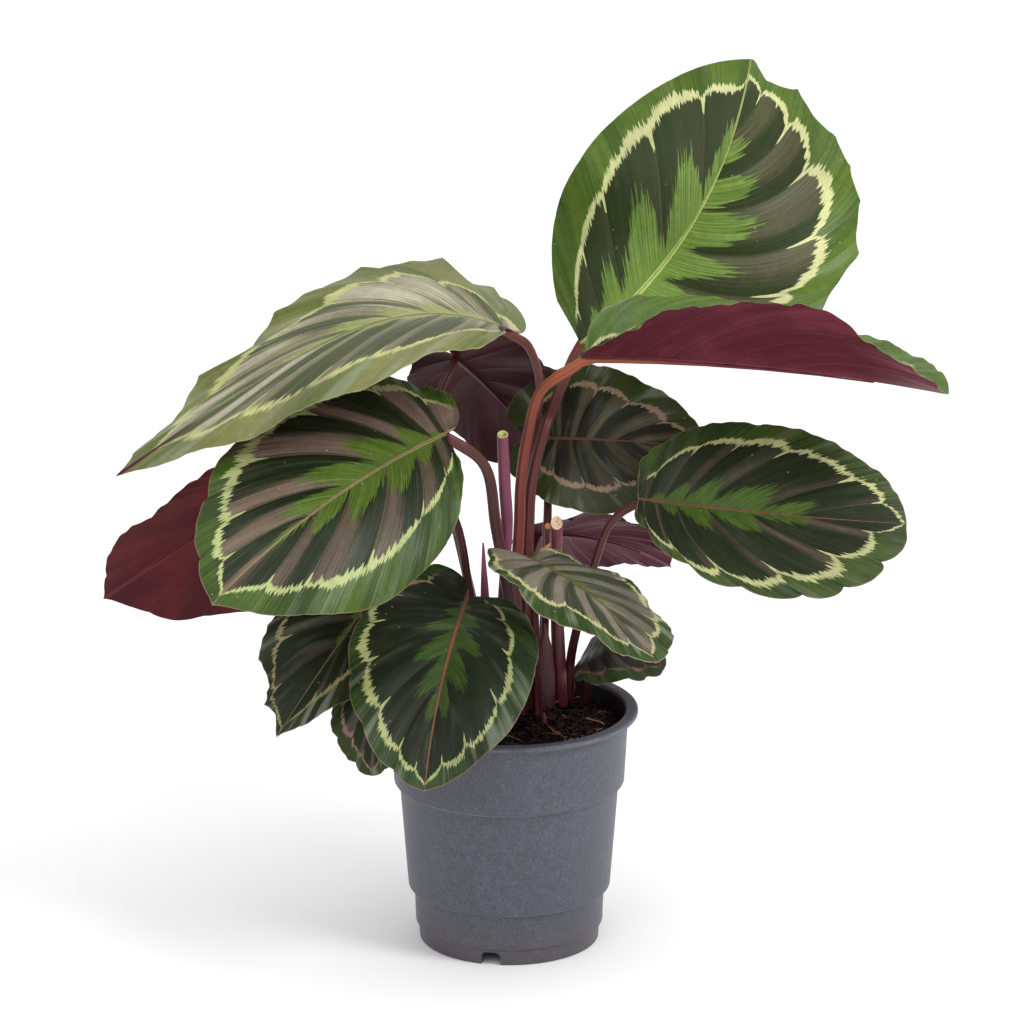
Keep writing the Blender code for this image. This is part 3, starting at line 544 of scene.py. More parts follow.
LEAVES = [
    make_leaf("leaf_top", (33, 46, 274), (112, 80, 402), (0.45, -1.0, 0.3), 164, lobe=(3, -4),
              belly=(0.5, 1.0), taper=(0.52, 0.72), arch=-4, sway=18, fold_left=(10, 30, 14),
              fold_right=(10, 12, -40), curl=(-12, -8), wave=(0.6, 3.0, 40), point=0, slant=(1.0, 0.2),
              corners=((0.2, 0.4, 0.6, 0.8), (0.2, 0.4, 0.52, 0.6, 0.65, 0.70, 0.80)),
              swell=(0.9, 1.6), scallop=(0.3, -4.2), lift=(0.3, -1.5),
              veins=((0.14, 0.30, 0.46, 0.70, 0.87), (0.2, 0.36, 0.51, 0.61, 0.72, 0.80, 0.90)),
              ring=((0.28, 0.36, 0.57, 0.73, 0.84, 0.91, 0.93, 0.80),
                    (0.50, 0.55, 0.62, 0.66, 0.79, 0.84, 0.90, 0.80))),
    make_leaf("leaf_right_folded", (31, 5, 279), (199, -25, 270), (0.0, 0.1, 1.0), 102, lobe=(0, 0),
              belly=(0.6, 0.8), taper=(0.62, 0.42), arch=4, fold_left=(76, 20, 34), fold_right=(34, 48, 12),
              curl=(-8, 0), wave=(1.6, 3.5, 0), point=0, scallop=(0.8, 1.2), lift=(0.8, 0.8),
              ring=((0.1, 0.2, 0.30, 0.42, 0.62, 0.90, 0.93, 0.92), PLAIN_RING)),
    make_leaf("leaf_left_pale", (3, 15, 288), (-176, -41, 243), (0.0, -0.2, 1.0), 118, lobe=(-10, 14),
              belly=(0.45, 0.3), taper=(0.95, 0.8), arch=4, crest=24, droop=6, fold_left=(14, 10, 0),
              fold_right=(10, 1, 0), curl=(-10, -6), wave=(2.0, 4.5, 20),
              corners=((0.15, 0.3, 0.45, 0.6, 0.75), (0.06, 0.17, 0.31, 0.475, 0.635, 0.86)),
              swell=(1.4, 1.4), scallop=(0.6, -2.0), lift=(0.6, -2.8),
              veins=((0.2, 0.34, 0.46, 0.58, 0.70, 0.84), (0.12, 0.26, 0.38, 0.50, 0.62, 0.74, 0.86)),
              ring=((0.30, 0.45, 0.60, 0.74, 0.80, 0.86, 0.84, 0.80),
                    (0.10, 0.36, 0.69, 0.70, 0.77, 0.86, 0.84, 0.80))),
    make_leaf("leaf_left_big", (-27, -10, 248), (-130, -100, 196), (-0.2, -0.75, 0.65), 108, lobe=(-4, 17),
              belly=(0.55, 0.5), arch=6, sway=4, fold_left=(8, 4, 4), fold_right=(8, 8, 8), curl=(-46, -8),
              wave=(1.6, 3.0, 60), swell=(1.1, 1.4), scallop=(0.4, 1.8), lift=(0.4, 1.4),
              veins=((0.12, 0.26, 0.42, 0.60, 0.76, 0.87), (0.10, 0.24, 0.42, 0.60, 0.76, 0.88)),
              ring=((0.30, 0.38, 0.48, 0.62, 0.78, 0.86, 0.89, 0.98),
                    (0.62, 0.78, 0.81, 0.88, 0.89, 0.88, 0.94, 1.0))),
    make_leaf("leaf_right", (60, 10, 210), (183, 0, 201), (0.0, -0.75, 0.66), 92, lobe=(7, 4),
              belly=(0.42, 0.75), taper=(0.52, 0.62), arch=6, sway=4, fold_left=(6, 6, 6),
              fold_right=(18, 18, 10), curl=(-14, -14), wave=(1.0, 3.5, 120), point=0,
              corners=((0.1, 0.25, 0.4, 0.56, 0.72, 0.86), (0.1, 0.27, 0.40, 0.55, 0.655, 0.8)),
              scallop=(0.4, 3.4), lift=(0.3, 1.2),
              veins=((0.14, 0.30, 0.44, 0.58, 0.79, 0.90), (0.12, 0.26, 0.41, 0.59, 0.76, 0.92)),
              ring=((0.40, 0.48, 0.70, 0.77, 0.83, 0.86, 0.96, 1.08),
                    (0.60, 0.74, 0.82, 0.84, 0.83, 0.84, 0.84, 1.06))),
    make_leaf("leaf_front", (-19, -17, 171), (-38, -94, 105), (-0.05, -0.6, 0.8), 91, lobe=(2, 18),
              belly=(0.52, 0.43), arch=5, sway=2, fold_left=(20, 24, 16), fold_right=(0, 2, 4), curl=(-14, 0),
              wave=(2.0, 3.0, 0), point=1, scallop=(0.4, 1.6), lift=(0.3, 0.9),
              veins=((0.12, 0.28, 0.46, 0.62, 0.79, 0.9), (0.09, 0.22, 0.36, 0.50, 0.68, 0.82, 0.92)),
              ring=((0.42, 0.50, 0.58, 0.71, 0.82, 0.90, 0.91, 1.0),
                    (0.72, 0.83, 0.88, 0.86, 0.84, 0.86, 0.94, 1.02))),
    make_leaf("leaf_low_left", (-58, 14, 169), (-106, -26, 108), (-0.4, -0.6, 0.7), 78, lobe=(3, 10),
              taper=(0.95, 0.62), arch=5, sway=-3, fold_left=(10, 10, 10), fold_right=(18, 18, 10),
              curl=(0, -6), wave=(2.6, 3.0, 90), point=2,
              corners=((0.2, 0.4, 0.6, 0.8), (0.15, 0.35, 0.64, 0.82)), scallop=(0.8, -3.0), lift=(0.6, 0.8),
              veins=((0.2, 0.4, 0.6, 0.8), (0.15, 0.32, 0.48, 0.62, 0.80)),
              ring=((0.6, 0.66, 0.70, 0.72, 0.74, 0.78, 0.9, 1.0),
                    (0.6, 0.64, 0.68, 0.72, 0.82, 0.92, 0.98, 1.0))),
    make_leaf("leaf_bottom_left", (-55, -14, 150), (-63, -42, 93), (-0.5, -0.8, 0.4), 50, lobe=(6, 8),
              arch=4, wave=(1.5, 3.0, 0), point=0, scallop=(0.8, 1.2), lift=(0.5, 0.6)),
    make_leaf("leaf_far_left", (-87, 20, 226), (-186, 20, 161), (-0.2, 0.9, 0.4), 104, lobe=(12, 12), arch=2,
              fold_left=(-20, -22, -14), fold_right=(-12, -14, -8), curl=(-10, -4), wave=(2.5, 3.0, 45),
              point=4, scallop=(1.0, 1.0)),
    make_leaf("leaf_behind", (-26, 63, 264), (25, 113, 190), (0.1, 0.8, 0.6), 74, lobe=(12, 22),
              belly=(0.5, 0.3), arch=5, fold_left=(4, 4, 4), fold_right=(4, 4, 4), wave=(2.5, 4.0, 45),
              scallop=(1.4, 1.4), lift=(0.8, 0.8)),
    make_leaf("leaf_back", (18, 49, 228), (95, 54, 221), (0.0, -0.87, 0.5), 71, lobe=(21, 21),
              taper=(0.8, 0.62), point=0, arch=5, wave=(2.0, 3.0, 45), swell=(1.8, 1.8), scallop=(0.5, 1.0),
              lift=(0.3, 0.5), ring=((0.45, 0.62, 0.70, 0.72, 0.72, 0.78, 0.88, 0.95),
                                     (0.45, 0.56, 0.62, 0.66, 0.72, 0.78, 0.88, 0.95))),
    make_leaf("leaf_low_centre", (12, 60, 178), (75, 85, 155), (0.1, 0.65, 0.75), 64, lobe=(9, 9),
              arch=5, fold_left=(4, 4, 4), fold_right=(4, 4, 4), wave=(1.5, 3.0, 0), scallop=(2.0, 2.0),
              lift=(0.8, 0.8)),
    make_leaf("leaf_small_front", (11, -17, 189), (66, -68, 157), (0.12, 0.0, 1.0), 60, lobe=(8, 20),
              taper=(0.45, 0.62), point=1, arch=5, fold_left=(6, 6, 6), fold_right=(6, 2, 2),
              curl=(-14, -24), wave=(2.0, 3.0, 0), scallop=(0.5, 2.4), lift=(0.4, 1.0),
              ring=((0.9, 0.9, 0.9, 0.92, 0.93, 0.86, 0.84, 0.92),
                    (0.88, 0.86, 0.83, 0.75, 0.74, 0.78, 0.88, 0.95))),
    make_leaf("leaf_low_right", (34, 26, 127), (72, 7, 128), (0.1, -0.45, 0.9), 52, lobe=(3, 1), point=0,
              arch=11, fold_left=(4, 4, 4), fold_right=(4, 4, 4), curl=(-16, -16), wave=(1.2, 3.0, 0),
              scallop=(0.8, 1.6), lift=(0.5, 0.7)),
]
print("leaves:", len(LEAVES))

# %% [markdown]
# ## The painted upper face
#
# The upper face has four zones from the midrib out: a feathered bright zone, a dark field with bronze bands, a pale
# ring with jagged teeth, and a green border. Every edge between them is torn along the veins. Painting a texture would
# fix one leaf in one size. A threshold does it for all of them: the distance from the midrib is compared with a limit
# that changes from vein to vein, and a noise that is stretched along the veins moves that limit, which draws the teeth.
# The bronze bands are partly painted sheen, and pale painted highlights lie on the waved border.

# %% How each leaf is coloured
# In each look, gloss is the share of painted highlights on the waved border, the sheen colour in the share that grey
# gives is painted sheen, and the bronze bands are partly painted sheen.
BASE_LOOK = dict(
    seed=1.0, streaks=140.0, ring_wide=0.022, bow=(0.07, 0.07), tail=0.07, teeth=0.15, ring=(182, 184, 132),
    ring_from=0.03, blush_colour=(160, 116, 100), blush=0.0, blush_end=1.0, dark=(28, 40, 18),
    bronze=(112, 92, 78), band_from=0.5, bands=(0.6, 0.6), border=(70, 92, 34), border_deep=(46, 64, 24),
    feather=(68, 90, 30), feather_light=(94, 118, 46), feather_reach=(0.44, 0.44), feather_end=0.40,
    rib=(136, 116, 80), rib_core=(112, 88, 62), rib_wide=0.9, edge=(150, 124, 96), edge_share=0.5,
    sheen=(130, 124, 104), grey=0.0, gloss=0.12, tip_turned=2.0, under=(104, 46, 58), under_deep=(80, 32, 42),
    under_vein=(136, 76, 86), under_lines=0.3, rough=0.36, shine=0.2,
)
LOOKS = {
    "leaf_top": dict(seed=3.0, streaks=165.0, bow=(0.05, 0.12), tail=0.10, teeth=0.15, ring=(190, 192, 136),
                     ring_wide=0.025, dark=(40, 52, 20), border=(82, 104, 34), border_deep=(60, 84, 26),
                     gloss=0.04, feather=(86, 114, 42), feather_light=(114, 140, 62), rib=(170, 182, 104), rib_core=(128, 148, 72),
                     edge=(96, 104, 52), edge_share=0.3, band_from=0.35, bands=(0.12, 0.6),
                     bronze=(92, 88, 60), feather_reach=(0.62, 0.44), feather_end=0.5, rib_wide=2.0),
    "leaf_right_folded": dict(seed=7.0, border=(92, 116, 50), border_deep=(74, 100, 40), gloss=0.05,
                              edge=(150, 146, 110), feather_reach=(0.3, 0.4),
                              under=(108, 46, 58), under_deep=(84, 32, 42), under_vein=(130, 70, 80),
                              under_lines=0.15, tip_turned=0.985),
    # This blade's colours are paler than its own and its sheen share is high: they hold painted sheen, the light that
    # its upturned velvet mirrors.
    "leaf_left_pale": dict(seed=11.0, dark=(66, 74, 44), bronze=(136, 128, 100), band_from=0.4, bands=(0.8, 0.8),
                           ring=(176, 178, 118), border=(88, 100, 42), border_deep=(116, 118, 68),
                           feather=(122, 130, 78), feather_light=(146, 150, 98), rib=(104, 96, 62),
                           rib_core=(88, 76, 50), grey=0.65, sheen=(184, 178, 154), edge=(170, 158, 122),
                           feather_reach=(0.24, 0.3), feather_end=0.7, rough=0.4, gloss=0.4,
                           tip_turned=0.955),
    "leaf_left_big": dict(seed=15.0, bronze=(128, 108, 94), band_from=0.42, bands=(0.5, 0.8), bow=(0.04, 0.06),
                          ring=(168, 178, 118), rib=(148, 130, 96), rib_core=(120, 98, 70), rib_wide=1.2,
                          feather=(68, 92, 30), feather_light=(92, 114, 46), feather_reach=(0.44, 0.50)),
    "leaf_right": dict(seed=19.0, ring=(178, 180, 126), rib=(124, 84, 68), rib_core=(100, 64, 52), bow=(0.05, 0.14),
                       band_from=0.68, bands=(0.35, 0.7), bronze=(104, 86, 74), border=(66, 84, 36),
                       border_deep=(44, 58, 28), feather=(56, 80, 26), feather_light=(74, 98, 34),
                       feather_reach=(0.44, 0.34), feather_end=0.3),
    "leaf_front": dict(seed=23.0, dark=(26, 36, 20), bands=(0.05, 0.05), ring=(156, 162, 108), blush=0.9,
                       blush_end=0.34, blush_colour=(140, 100, 88), rib=(112, 76, 54), rib_core=(140, 88, 70),
                       rib_wide=1.5, border=(52, 70, 36), border_deep=(34, 48, 26), feather=(48, 70, 26),
                       feather_light=(64, 86, 32), feather_reach=(0.46, 0.46), feather_end=0.24, gloss=0.32),
    "leaf_low_left": dict(seed=27.0, ring=(156, 146, 104), blush_colour=(136, 96, 86), blush=0.8, blush_end=0.6,
                          bands=(0.4, 0.4), border=(48, 60, 32), border_deep=(36, 46, 26), rib=(130, 112, 88),
                          bronze=(98, 86, 76), feather_reach=(0.1, 0.1), feather_end=0.1, gloss=0.5),
    "leaf_bottom_left": dict(seed=31.0, ring=(138, 120, 98), blush_colour=(132, 96, 88), blush=0.8,
                             bands=(0.6, 0.6), border=(50, 60, 34), rib=(110, 74, 64), bronze=(104, 92, 84),
                             feather_reach=(0.1, 0.1), feather_end=0.1, gloss=0.5),
    "leaf_far_left": dict(seed=35.0, under=(96, 36, 38), under_deep=(74, 28, 34), under_vein=(110, 58, 60),
                          under_lines=0.12),
    "leaf_behind": dict(seed=39.0, under=(70, 30, 36), under_deep=(54, 22, 28), under_vein=(92, 50, 56),
                        under_lines=0.12),
    "leaf_back": dict(seed=43.0, dark=(28, 32, 18), bronze=(98, 90, 68), band_from=0.5, bands=(0.7, 0.45),
                      ring=(148, 134, 106), blush_colour=(140, 112, 96), blush=0.6, border=(58, 62, 36),
                      rib=(104, 70, 56), rib_core=(90, 60, 50), feather_reach=(0.0, 0.0), feather_end=0.0,
                      gloss=0.4),
    "leaf_low_centre": dict(seed=47.0, under=(92, 36, 52), under_deep=(70, 26, 38), under_vein=(150, 92, 104),
                            under_lines=0.5),
    "leaf_small_front": dict(seed=51.0, dark=(50, 58, 38), bronze=(128, 120, 104), band_from=0.4,
                             bands=(0.6, 0.9), grey=0.5, ring=(180, 178, 128), border=(64, 84, 42),
                             rib=(118, 78, 66), rib_core=(104, 66, 58), feather_reach=(0.14, 0.1),
                             feather_end=0.1, edge=(180, 166, 140), gloss=0.5),
    "leaf_low_right": dict(seed=55.0, dark=(36, 36, 26), bronze=(84, 74, 62), bands=(0.6, 0.6),
                           ring=(100, 80, 66), border=(50, 62, 36), rib=(112, 46, 50), rib_core=(112, 46, 50),
                           feather_reach=(0.06, 0.06), feather_end=0.06, blush=0.4),
}


# %% Streaks along the veins
def along_veins(f, place, count, length, shift, detail=1.0):
    """Noise between about -0.3 and 0.3 in streaks that follow the veins, count of them over the blade."""
    q, r, seed = place
    at = f.pack(f.math("MULTIPLY", q, count), f.math("MULTIPLY", r, length), f.math("ADD", seed, shift))
    return f.math("SUBTRACT", f.noise(at, detail=detail), 0.5)


def of_side(f, right, left_value, right_value):
    """One value on the left half of the blade and another on the right half."""
    if isinstance(left_value, bpy.types.NodeSocket):
        return f.math("MULTIPLY_ADD", right, f.math("SUBTRACT", right_value, left_value), left_value)
    return f.math("MULTIPLY_ADD", right, right_value - left_value, left_value)


def arches(f, sector, power, lean=1.0):
    """0 on each main vein and 1 between two. A small power makes broad arches, lean puts them nearer the tip."""
    s = f.math("POWER", f.math("FRACT", sector), lean)
    hump = f.math("MULTIPLY", f.math("MULTIPLY", s, f.math("SUBTRACT", 1.0, s)), 4.0)
    return f.math("POWER", hump, power)


def beside_vein(f, sector, fine, reach):
    """1 on a main vein, 0 at the given share of a stretch away from it."""
    near = f.math("PINGPONG", f.math("MULTIPLY_ADD", fine, 0.05, sector), 0.5)
    return f.math("SUBTRACT", 1.0, f.step(near, 0.3 * reach, reach))


# %% The zones of the upper face
def ring_limits(f, look, right, line, sector, fine, finer, broad):
    """The inner and the outer limit of the pale ring. At each main vein a thin tail hangs inwards."""
    bow = of_side(f, right, *look["bow"])
    centre = f.math("MULTIPLY_ADD", f.math("SUBTRACT", arches(f, sector, 0.5), 0.75), bow, line)
    centre = f.math("MULTIPLY_ADD", broad, 0.04, centre)
    wide = f.math("MULTIPLY_ADD", arches(f, sector, 0.6), 0.6, 0.5)
    wide = f.math("MULTIPLY", wide, f.math("MULTIPLY_ADD", broad, 0.05, look["ring_wide"]))
    wide = f.math("MULTIPLY", wide, f.math("MULTIPLY_ADD", f.number("vein"), -0.7, 1.6))
    inner = f.math("MULTIPLY_ADD", fine, look["teeth"], f.math("SUBTRACT", centre, wide))
    inner = f.math("MULTIPLY_ADD", beside_vein(f, sector, finer, 0.045), -look["tail"], inner)
    outer = f.math("MULTIPLY_ADD", finer, 0.7 * look["teeth"], f.math("ADD", centre, wide))
    return inner, outer


def past(f, value, limit, soft=0.007):
    return f.step(f.math("SUBTRACT", value, limit), -soft, soft)


def dark_field(f, look, right, sector, fine, finer, broad):
    """Nearly black green, with a bronze band before each main vein and fine pale lines along it. The band is partly the
    blade's own tint and partly painted sheen on one side of each pleat, and the sheen colour is painted sheen.
    """
    s = f.math("FRACT", sector)
    place = f.math("MULTIPLY_ADD", fine, 0.3, f.math("ADD", s, f.math("MULTIPLY", broad, 0.9)))
    start = look["band_from"]
    # The bronze band: partly the blade's tint, partly painted sheen along each pleat.
    band = f.math("MULTIPLY", f.step(place, start, start + 0.3), f.math("SUBTRACT", 1.0, f.step(s, 0.94, 0.99)))
    lines = f.math("MULTIPLY", f.step(finer, 0.05, 0.2), 0.2)
    share = f.math("MULTIPLY", f.math("MAXIMUM", band, lines), of_side(f, right, *look["bands"]))
    share = f.math("MULTIPLY", share, f.math("MULTIPLY_ADD", finer, 1.6, 0.85))
    colour = f.mix(share, paint(*look["dark"]), paint(*look["bronze"]))
    # Painted sheen: the pale colour that the velvety blade mirrors, in the share that grey gives.
    painted_sheen_share = f.math("MULTIPLY", f.step(f.math("MULTIPLY_ADD", finer, 0.6, broad), -0.02, 0.12), look["grey"])
    colour = f.mix(painted_sheen_share, colour, paint(*look["sheen"]))
    line = f.math("MULTIPLY", beside_vein(f, sector, finer, 0.03), 0.5 * max(look["bands"]))
    return f.mix(line, colour, paint(*look["bronze"]))


def feather_zone(f, look, right, q, r, sector, fine, finer):
    """Where the bright flames reach: one for each sector, torn along the veins, dying out at the tip."""
    full = of_side(f, right, *look["feather_reach"])
    reach = f.math("MULTIPLY", f.step(q, 0.0, 0.75), full)
    end = f.step(q, 0.85, 1.0)
    reach = f.math("MULTIPLY_ADD", end, f.math("SUBTRACT", look["feather_end"], reach), reach)
    limit = f.math("MULTIPLY", reach, f.math("MULTIPLY_ADD", arches(f, sector, 1.0, 1.5), 0.75, 0.22))
    torn = f.math("MULTIPLY_ADD", reach, 1.1, 0.05)
    limit = f.math("MULTIPLY_ADD", fine, torn, limit)
    colour = f.mix(f.step(finer, -0.12, 0.14), paint(*look["feather"]), paint(*look["feather_light"]))
    return f.math("SUBTRACT", 1.0, past(f, r, limit, 0.012)), colour


# %% The upper face's finish
def upper_finish(name, look):
    f = Finish("upper_" + name)
    q, r = f.number("vein"), f.number("reach")
    right = f.math("GREATER_THAN", f.number("across"), 0.0)
    seed = f.math("MULTIPLY_ADD", right, 13.0, look["seed"])
    sector = of_side(f, right, f.number("sector_left"), f.number("sector_right"))
    line = of_side(f, right, f.number("ring_left"), f.number("ring_right"))
    fine = along_veins(f, (q, r, seed), look["streaks"], 2.2, 0.0, 2.0)
    finer = along_veins(f, (q, r, seed), look["streaks"] * 1.6, 1.6, 3.0)
    broad = along_veins(f, (q, r, seed), 9.0, 0.9, 9.0)

    colour = dark_field(f, look, right, sector, fine, finer, broad)
    feather, leafy = feather_zone(f, look, right, q, r, sector, fine, finer)
    colour = f.mix(feather, colour, leafy)
    inner, outer = ring_limits(f, look, right, line, sector, fine, finer, broad)
    past_inner, past_outer = past(f, r, inner), past(f, r, outer)
    border = f.mix(f.step(f.math("MULTIPLY_ADD", finer, 0.5, broad), -0.12, 0.14), paint(*look["border_deep"]),
                   paint(*look["border"]))
    colour = f.mix(past_outer, colour, border)
    blush = f.math("MULTIPLY", f.step(f.math("MULTIPLY_ADD", fine, 0.5, broad), -0.1, 0.05), look["blush"])
    blush = f.math("MULTIPLY", blush, f.math("SUBTRACT", 1.0, f.step(q, look["blush_end"] - 0.06, look["blush_end"])))
    ring_colour = f.mix(blush, paint(*look["ring"]), paint(*look["blush_colour"]))
    ring = f.math("MULTIPLY", past_inner, f.math("SUBTRACT", 1.0, past_outer))
    ring_start = look["ring_from"]
    ring = f.math("MULTIPLY", ring, f.step(f.math("MULTIPLY_ADD", broad, 0.3, q), ring_start, ring_start + 0.07))
    colour = f.mix(ring, colour, ring_colour)

    # Where the blade is waved outside the ring, pale slanting patches are painted in: painted highlights that stand for
    # its wax catching the light.
    wave = along_veins(f, (q, r, seed), 16.0, 1.4, 21.0)
    painted_highlight = f.math("MULTIPLY", f.step(f.math("MULTIPLY_ADD", finer, 0.25, wave), 0.03, 0.2), look["gloss"])
    colour = f.mix(f.math("MULTIPLY", painted_highlight, f.math("MULTIPLY_ADD", past_outer, 0.75, 0.25)), colour,
                   paint(150, 158, 136))

    # Midrib with a darker core, edge line, mottling and a little dust.
    rib_edge = f.math("MULTIPLY_ADD", f.number("along"), -0.75 * look["rib_wide"], look["rib_wide"])
    beside = f.math("DIVIDE", f.number("rib_mm"), rib_edge)
    rib = f.math("SUBTRACT", 1.0, f.step(beside, 0.6, 1.0))
    rib_colour = f.mix(f.step(beside, 0.15, 0.4), paint(*look["rib_core"]), paint(*look["rib"]))
    colour = f.mix(rib, colour, rib_colour)
    edge = f.math("SUBTRACT", 1.0, f.step(f.number("rim_mm"), 0.1, 0.5))
    colour = f.mix(f.math("MULTIPLY", edge, look["edge_share"]), colour, paint(*look["edge"]))
    if look["tip_turned"] < 1.0:
        turned = f.step(f.math("MULTIPLY_ADD", fine, 0.01, q), look["tip_turned"], look["tip_turned"] + 0.008)
        colour = f.mix(turned, colour, paint(*look["under_deep"]))
    mottle = f.noise(f.place(), scale=260.0, detail=3.0, roughness=0.6)
    patches = f.noise(f.place(), scale=24.0, detail=2.0)
    shade = f.math("MULTIPLY_ADD", mottle, 0.6, f.math("MULTIPLY_ADD", patches, 0.8, 0.3))
    colour = f.mix(1.0, colour, f.pack(shade, shade, shade), "MULTIPLY")
    dust = f.math("SUBTRACT", 1.0, f.step(f.specks(f.place(), 150.0), 0.03, 0.07))
    dust = f.math("MULTIPLY", dust, f.step(patches, 0.45, 0.6))
    colour = f.mix(f.math("MULTIPLY", dust, 0.6), colour, paint(190, 190, 175))

    height = f.math("MULTIPLY_ADD", mottle, 0.25, f.math("MULTIPLY", finer, 0.9))
    height = f.math("MULTIPLY_ADD", rib, 0.8, f.math("MULTIPLY_ADD", wave, 1.5, height))
    f.grain(height, 0.0003, 0.8)
    rough = f.math("MULTIPLY_ADD", mottle, 0.16, look["rough"] - 0.08)
    return f.done(colour, f.math("MULTIPLY_ADD", past_outer, -0.06, rough), look["shine"])


# %% [markdown]
# ## The purple underside
#
# Below, the blade is wine red with paler veins and no pattern. It uses the same streaks along the veins,
# a line for each main vein and a wider one for the midrib.


# %% The underside's finish
def under_finish(name, look):
    f = Finish("under_" + name)
    q, r = f.number("vein"), f.number("reach")
    right = f.math("GREATER_THAN", f.number("across"), 0.0)
    seed = f.math("MULTIPLY_ADD", right, 17.0, look["seed"])
    sector = of_side(f, right, f.number("sector_left"), f.number("sector_right"))
    streak = along_veins(f, (q, r, seed), 70.0, 1.5, 0.0, 2.0)
    broad = along_veins(f, (q, r, seed), 8.0, 1.0, 5.0)
    cloud = f.math("SUBTRACT", f.noise(f.place(), scale=26.0, detail=3.0), 0.5)
    share = f.step(f.math("MULTIPLY_ADD", streak, 0.3, f.math("ADD", broad, cloud)), -0.2, 0.24)
    colour = f.mix(share, paint(*look["under_deep"]), paint(*look["under"]))
    near = f.math("PINGPONG", f.math("MULTIPLY_ADD", streak, 0.04, sector), 0.5)
    veins = f.math("SUBTRACT", 1.0, f.step(near, 0.0, 0.045))
    colour = f.mix(f.math("MULTIPLY", veins, look["under_lines"]), colour, paint(*look["under_vein"]))
    hair_lines = f.math("MULTIPLY", f.step(streak, 0.08, 0.22), 0.5 * look["under_lines"])
    colour = f.mix(hair_lines, colour, paint(*look["under_vein"]))
    rib = f.math("SUBTRACT", 1.0, f.step(f.number("rib_mm"), 0.8, 1.6))
    colour = f.mix(f.math("MULTIPLY", rib, 0.6), colour, paint(*look["under_vein"]))
    mottle = f.noise(f.place(), scale=420.0, detail=3.0, roughness=0.6)
    shade = f.math("MULTIPLY_ADD", mottle, 0.5, 0.75)
    colour = f.mix(1.0, colour, f.pack(shade, shade, shade), "MULTIPLY")
    height = f.math("MULTIPLY_ADD", veins, 0.5, f.math("MULTIPLY_ADD", mottle, 0.3, f.math("MULTIPLY", streak, 0.8)))
    f.grain(height, 0.0004, 0.8)
    return f.done(colour, f.math("MULTIPLY_ADD", mottle, 0.2, 0.4), 0.1)


def rim_finish(name, look):
    """The cut edge between the two faces: between the border's green and the edge line."""
    f = Finish("rim_" + name)
    mottle = f.noise(f.place(), scale=300.0, detail=2.0)
    colour = f.mix(f.step(mottle, 0.35, 0.65), paint(*look["border_deep"]), paint(*look["edge"]))
    f.grain(mottle, 0.0002)
    return f.done(colour, f.math("MULTIPLY_ADD", mottle, 0.2, 0.4), look["shine"])


# %% Grow the leaves
blade_triangles = 0
for leaf in LEAVES:
    look = {**BASE_LOOK, **LOOKS[leaf["name"]]}
    points, faces, slots, facts = fine_blade(leaf)
    key = leaf["name"][5:]
    finishes = [upper_finish(key, look), under_finish(key, look), rim_finish(key, look)]
    blade = new_piece("blade_" + key, points, faces, finishes, [leaf["name"]], sharp=70.0)
    blade.data.polygons.foreach_set("material_index", slots)
    for name, values in facts.items():
        add_number(blade, name, values)
    blade_triangles += sum(len(face) - 2 for face in faces)
print("blades:", len(LEAVES), "with", blade_triangles, "triangles")

# %% [markdown]
# ## Petioles
#
# A petiole is a round stalk with a shallow groove down one side. It swells a little into a joint just below the blade
# and then runs on as the rib under the midrib, getting thinner to the tip. A curve with a bevel makes a plain tube.
# Here the rings are laid one by one, so that the tube can have the groove, the joint and the rib in one piece.


# %% Stalks along a path
def smooth_path(points, per_span):
    """Points of a smooth curve through the given ones."""
    points = [np.array(point, float) for point in points]
    points = [2 * points[0] - points[1]] + points + [2 * points[-1] - points[-2]]
    found = []
    for a, b, c, d in zip(points, points[1:], points[2:], points[3:]):
        for step in range(per_span):
            s = step / per_span
            square, cube = 2 * a - 5 * b + 4 * c - d, 3 * b - a - 3 * c + d
            found.append(0.5 * (2 * b + (c - a) * s + square * s**2 + cube * s**3))
    return found + [points[-2]]


def ring_frames(path, facing):
    """For each point of a path: the way it runs, and two directions across it that turn with it."""
    path = np.array(path)
    along = unit(np.gradient(path, axis=0))
    out = unit(np.array(facing, float) - np.dot(facing, along[0]) * along[0])
    frames = []
    for direction in along:
        out = unit(out - np.dot(out, direction) * direction)
        frames.append((out, np.cross(direction, out)))
    return frames


def tube(path, radii, facing=(0.3, -1.0, 0.0), sides=16, groove=0.2, ridges=0.0, turned=0):
    """Rings of a stalk, closed at both ends. It gives points, faces, and each point's share of the length.
    The last rings may turn back into the stalk, and turned is how many of them do."""
    frames = ring_frames(path[:len(path) - turned], facing)
    frames += [frames[-1]] * turned
    angles = 2.0 * math.pi * np.arange(sides) / sides
    turn = (angles + math.pi) % (2.0 * math.pi) - math.pi
    section = 1.0 - groove * np.exp(-((turn / 0.5) ** 2)) + 0.3 * groove * np.exp(-(((np.abs(turn) - 0.95) / 0.35) ** 2))
    section = section - ridges * (1.0 + np.cos(6.0 * angles + 0.6))
    points, shares = [], []
    lengths = np.concatenate([[0.0], np.cumsum(np.linalg.norm(np.diff(np.array(path), axis=0), axis=1))])
    for place, radius, (out, across), done in zip(path, radii, frames, lengths / lengths[-1]):
        for angle, size in zip(angles, section):
            points.append(place + radius * size * (out * math.cos(angle) + across * math.sin(angle)))
            shares.append(done)
    faces = []
    for k in range(len(path) - 1):
        for side in range(sides):
            a, b = k * sides + side, k * sides + (side + 1) % sides
            faces.append((a, b, b + sides, a + sides))
    faces.append(tuple(range(sides - 1, -1, -1)))
    faces.append(tuple(range((len(path) - 1) * sides, len(path) * sides)))
    return points, faces, shares


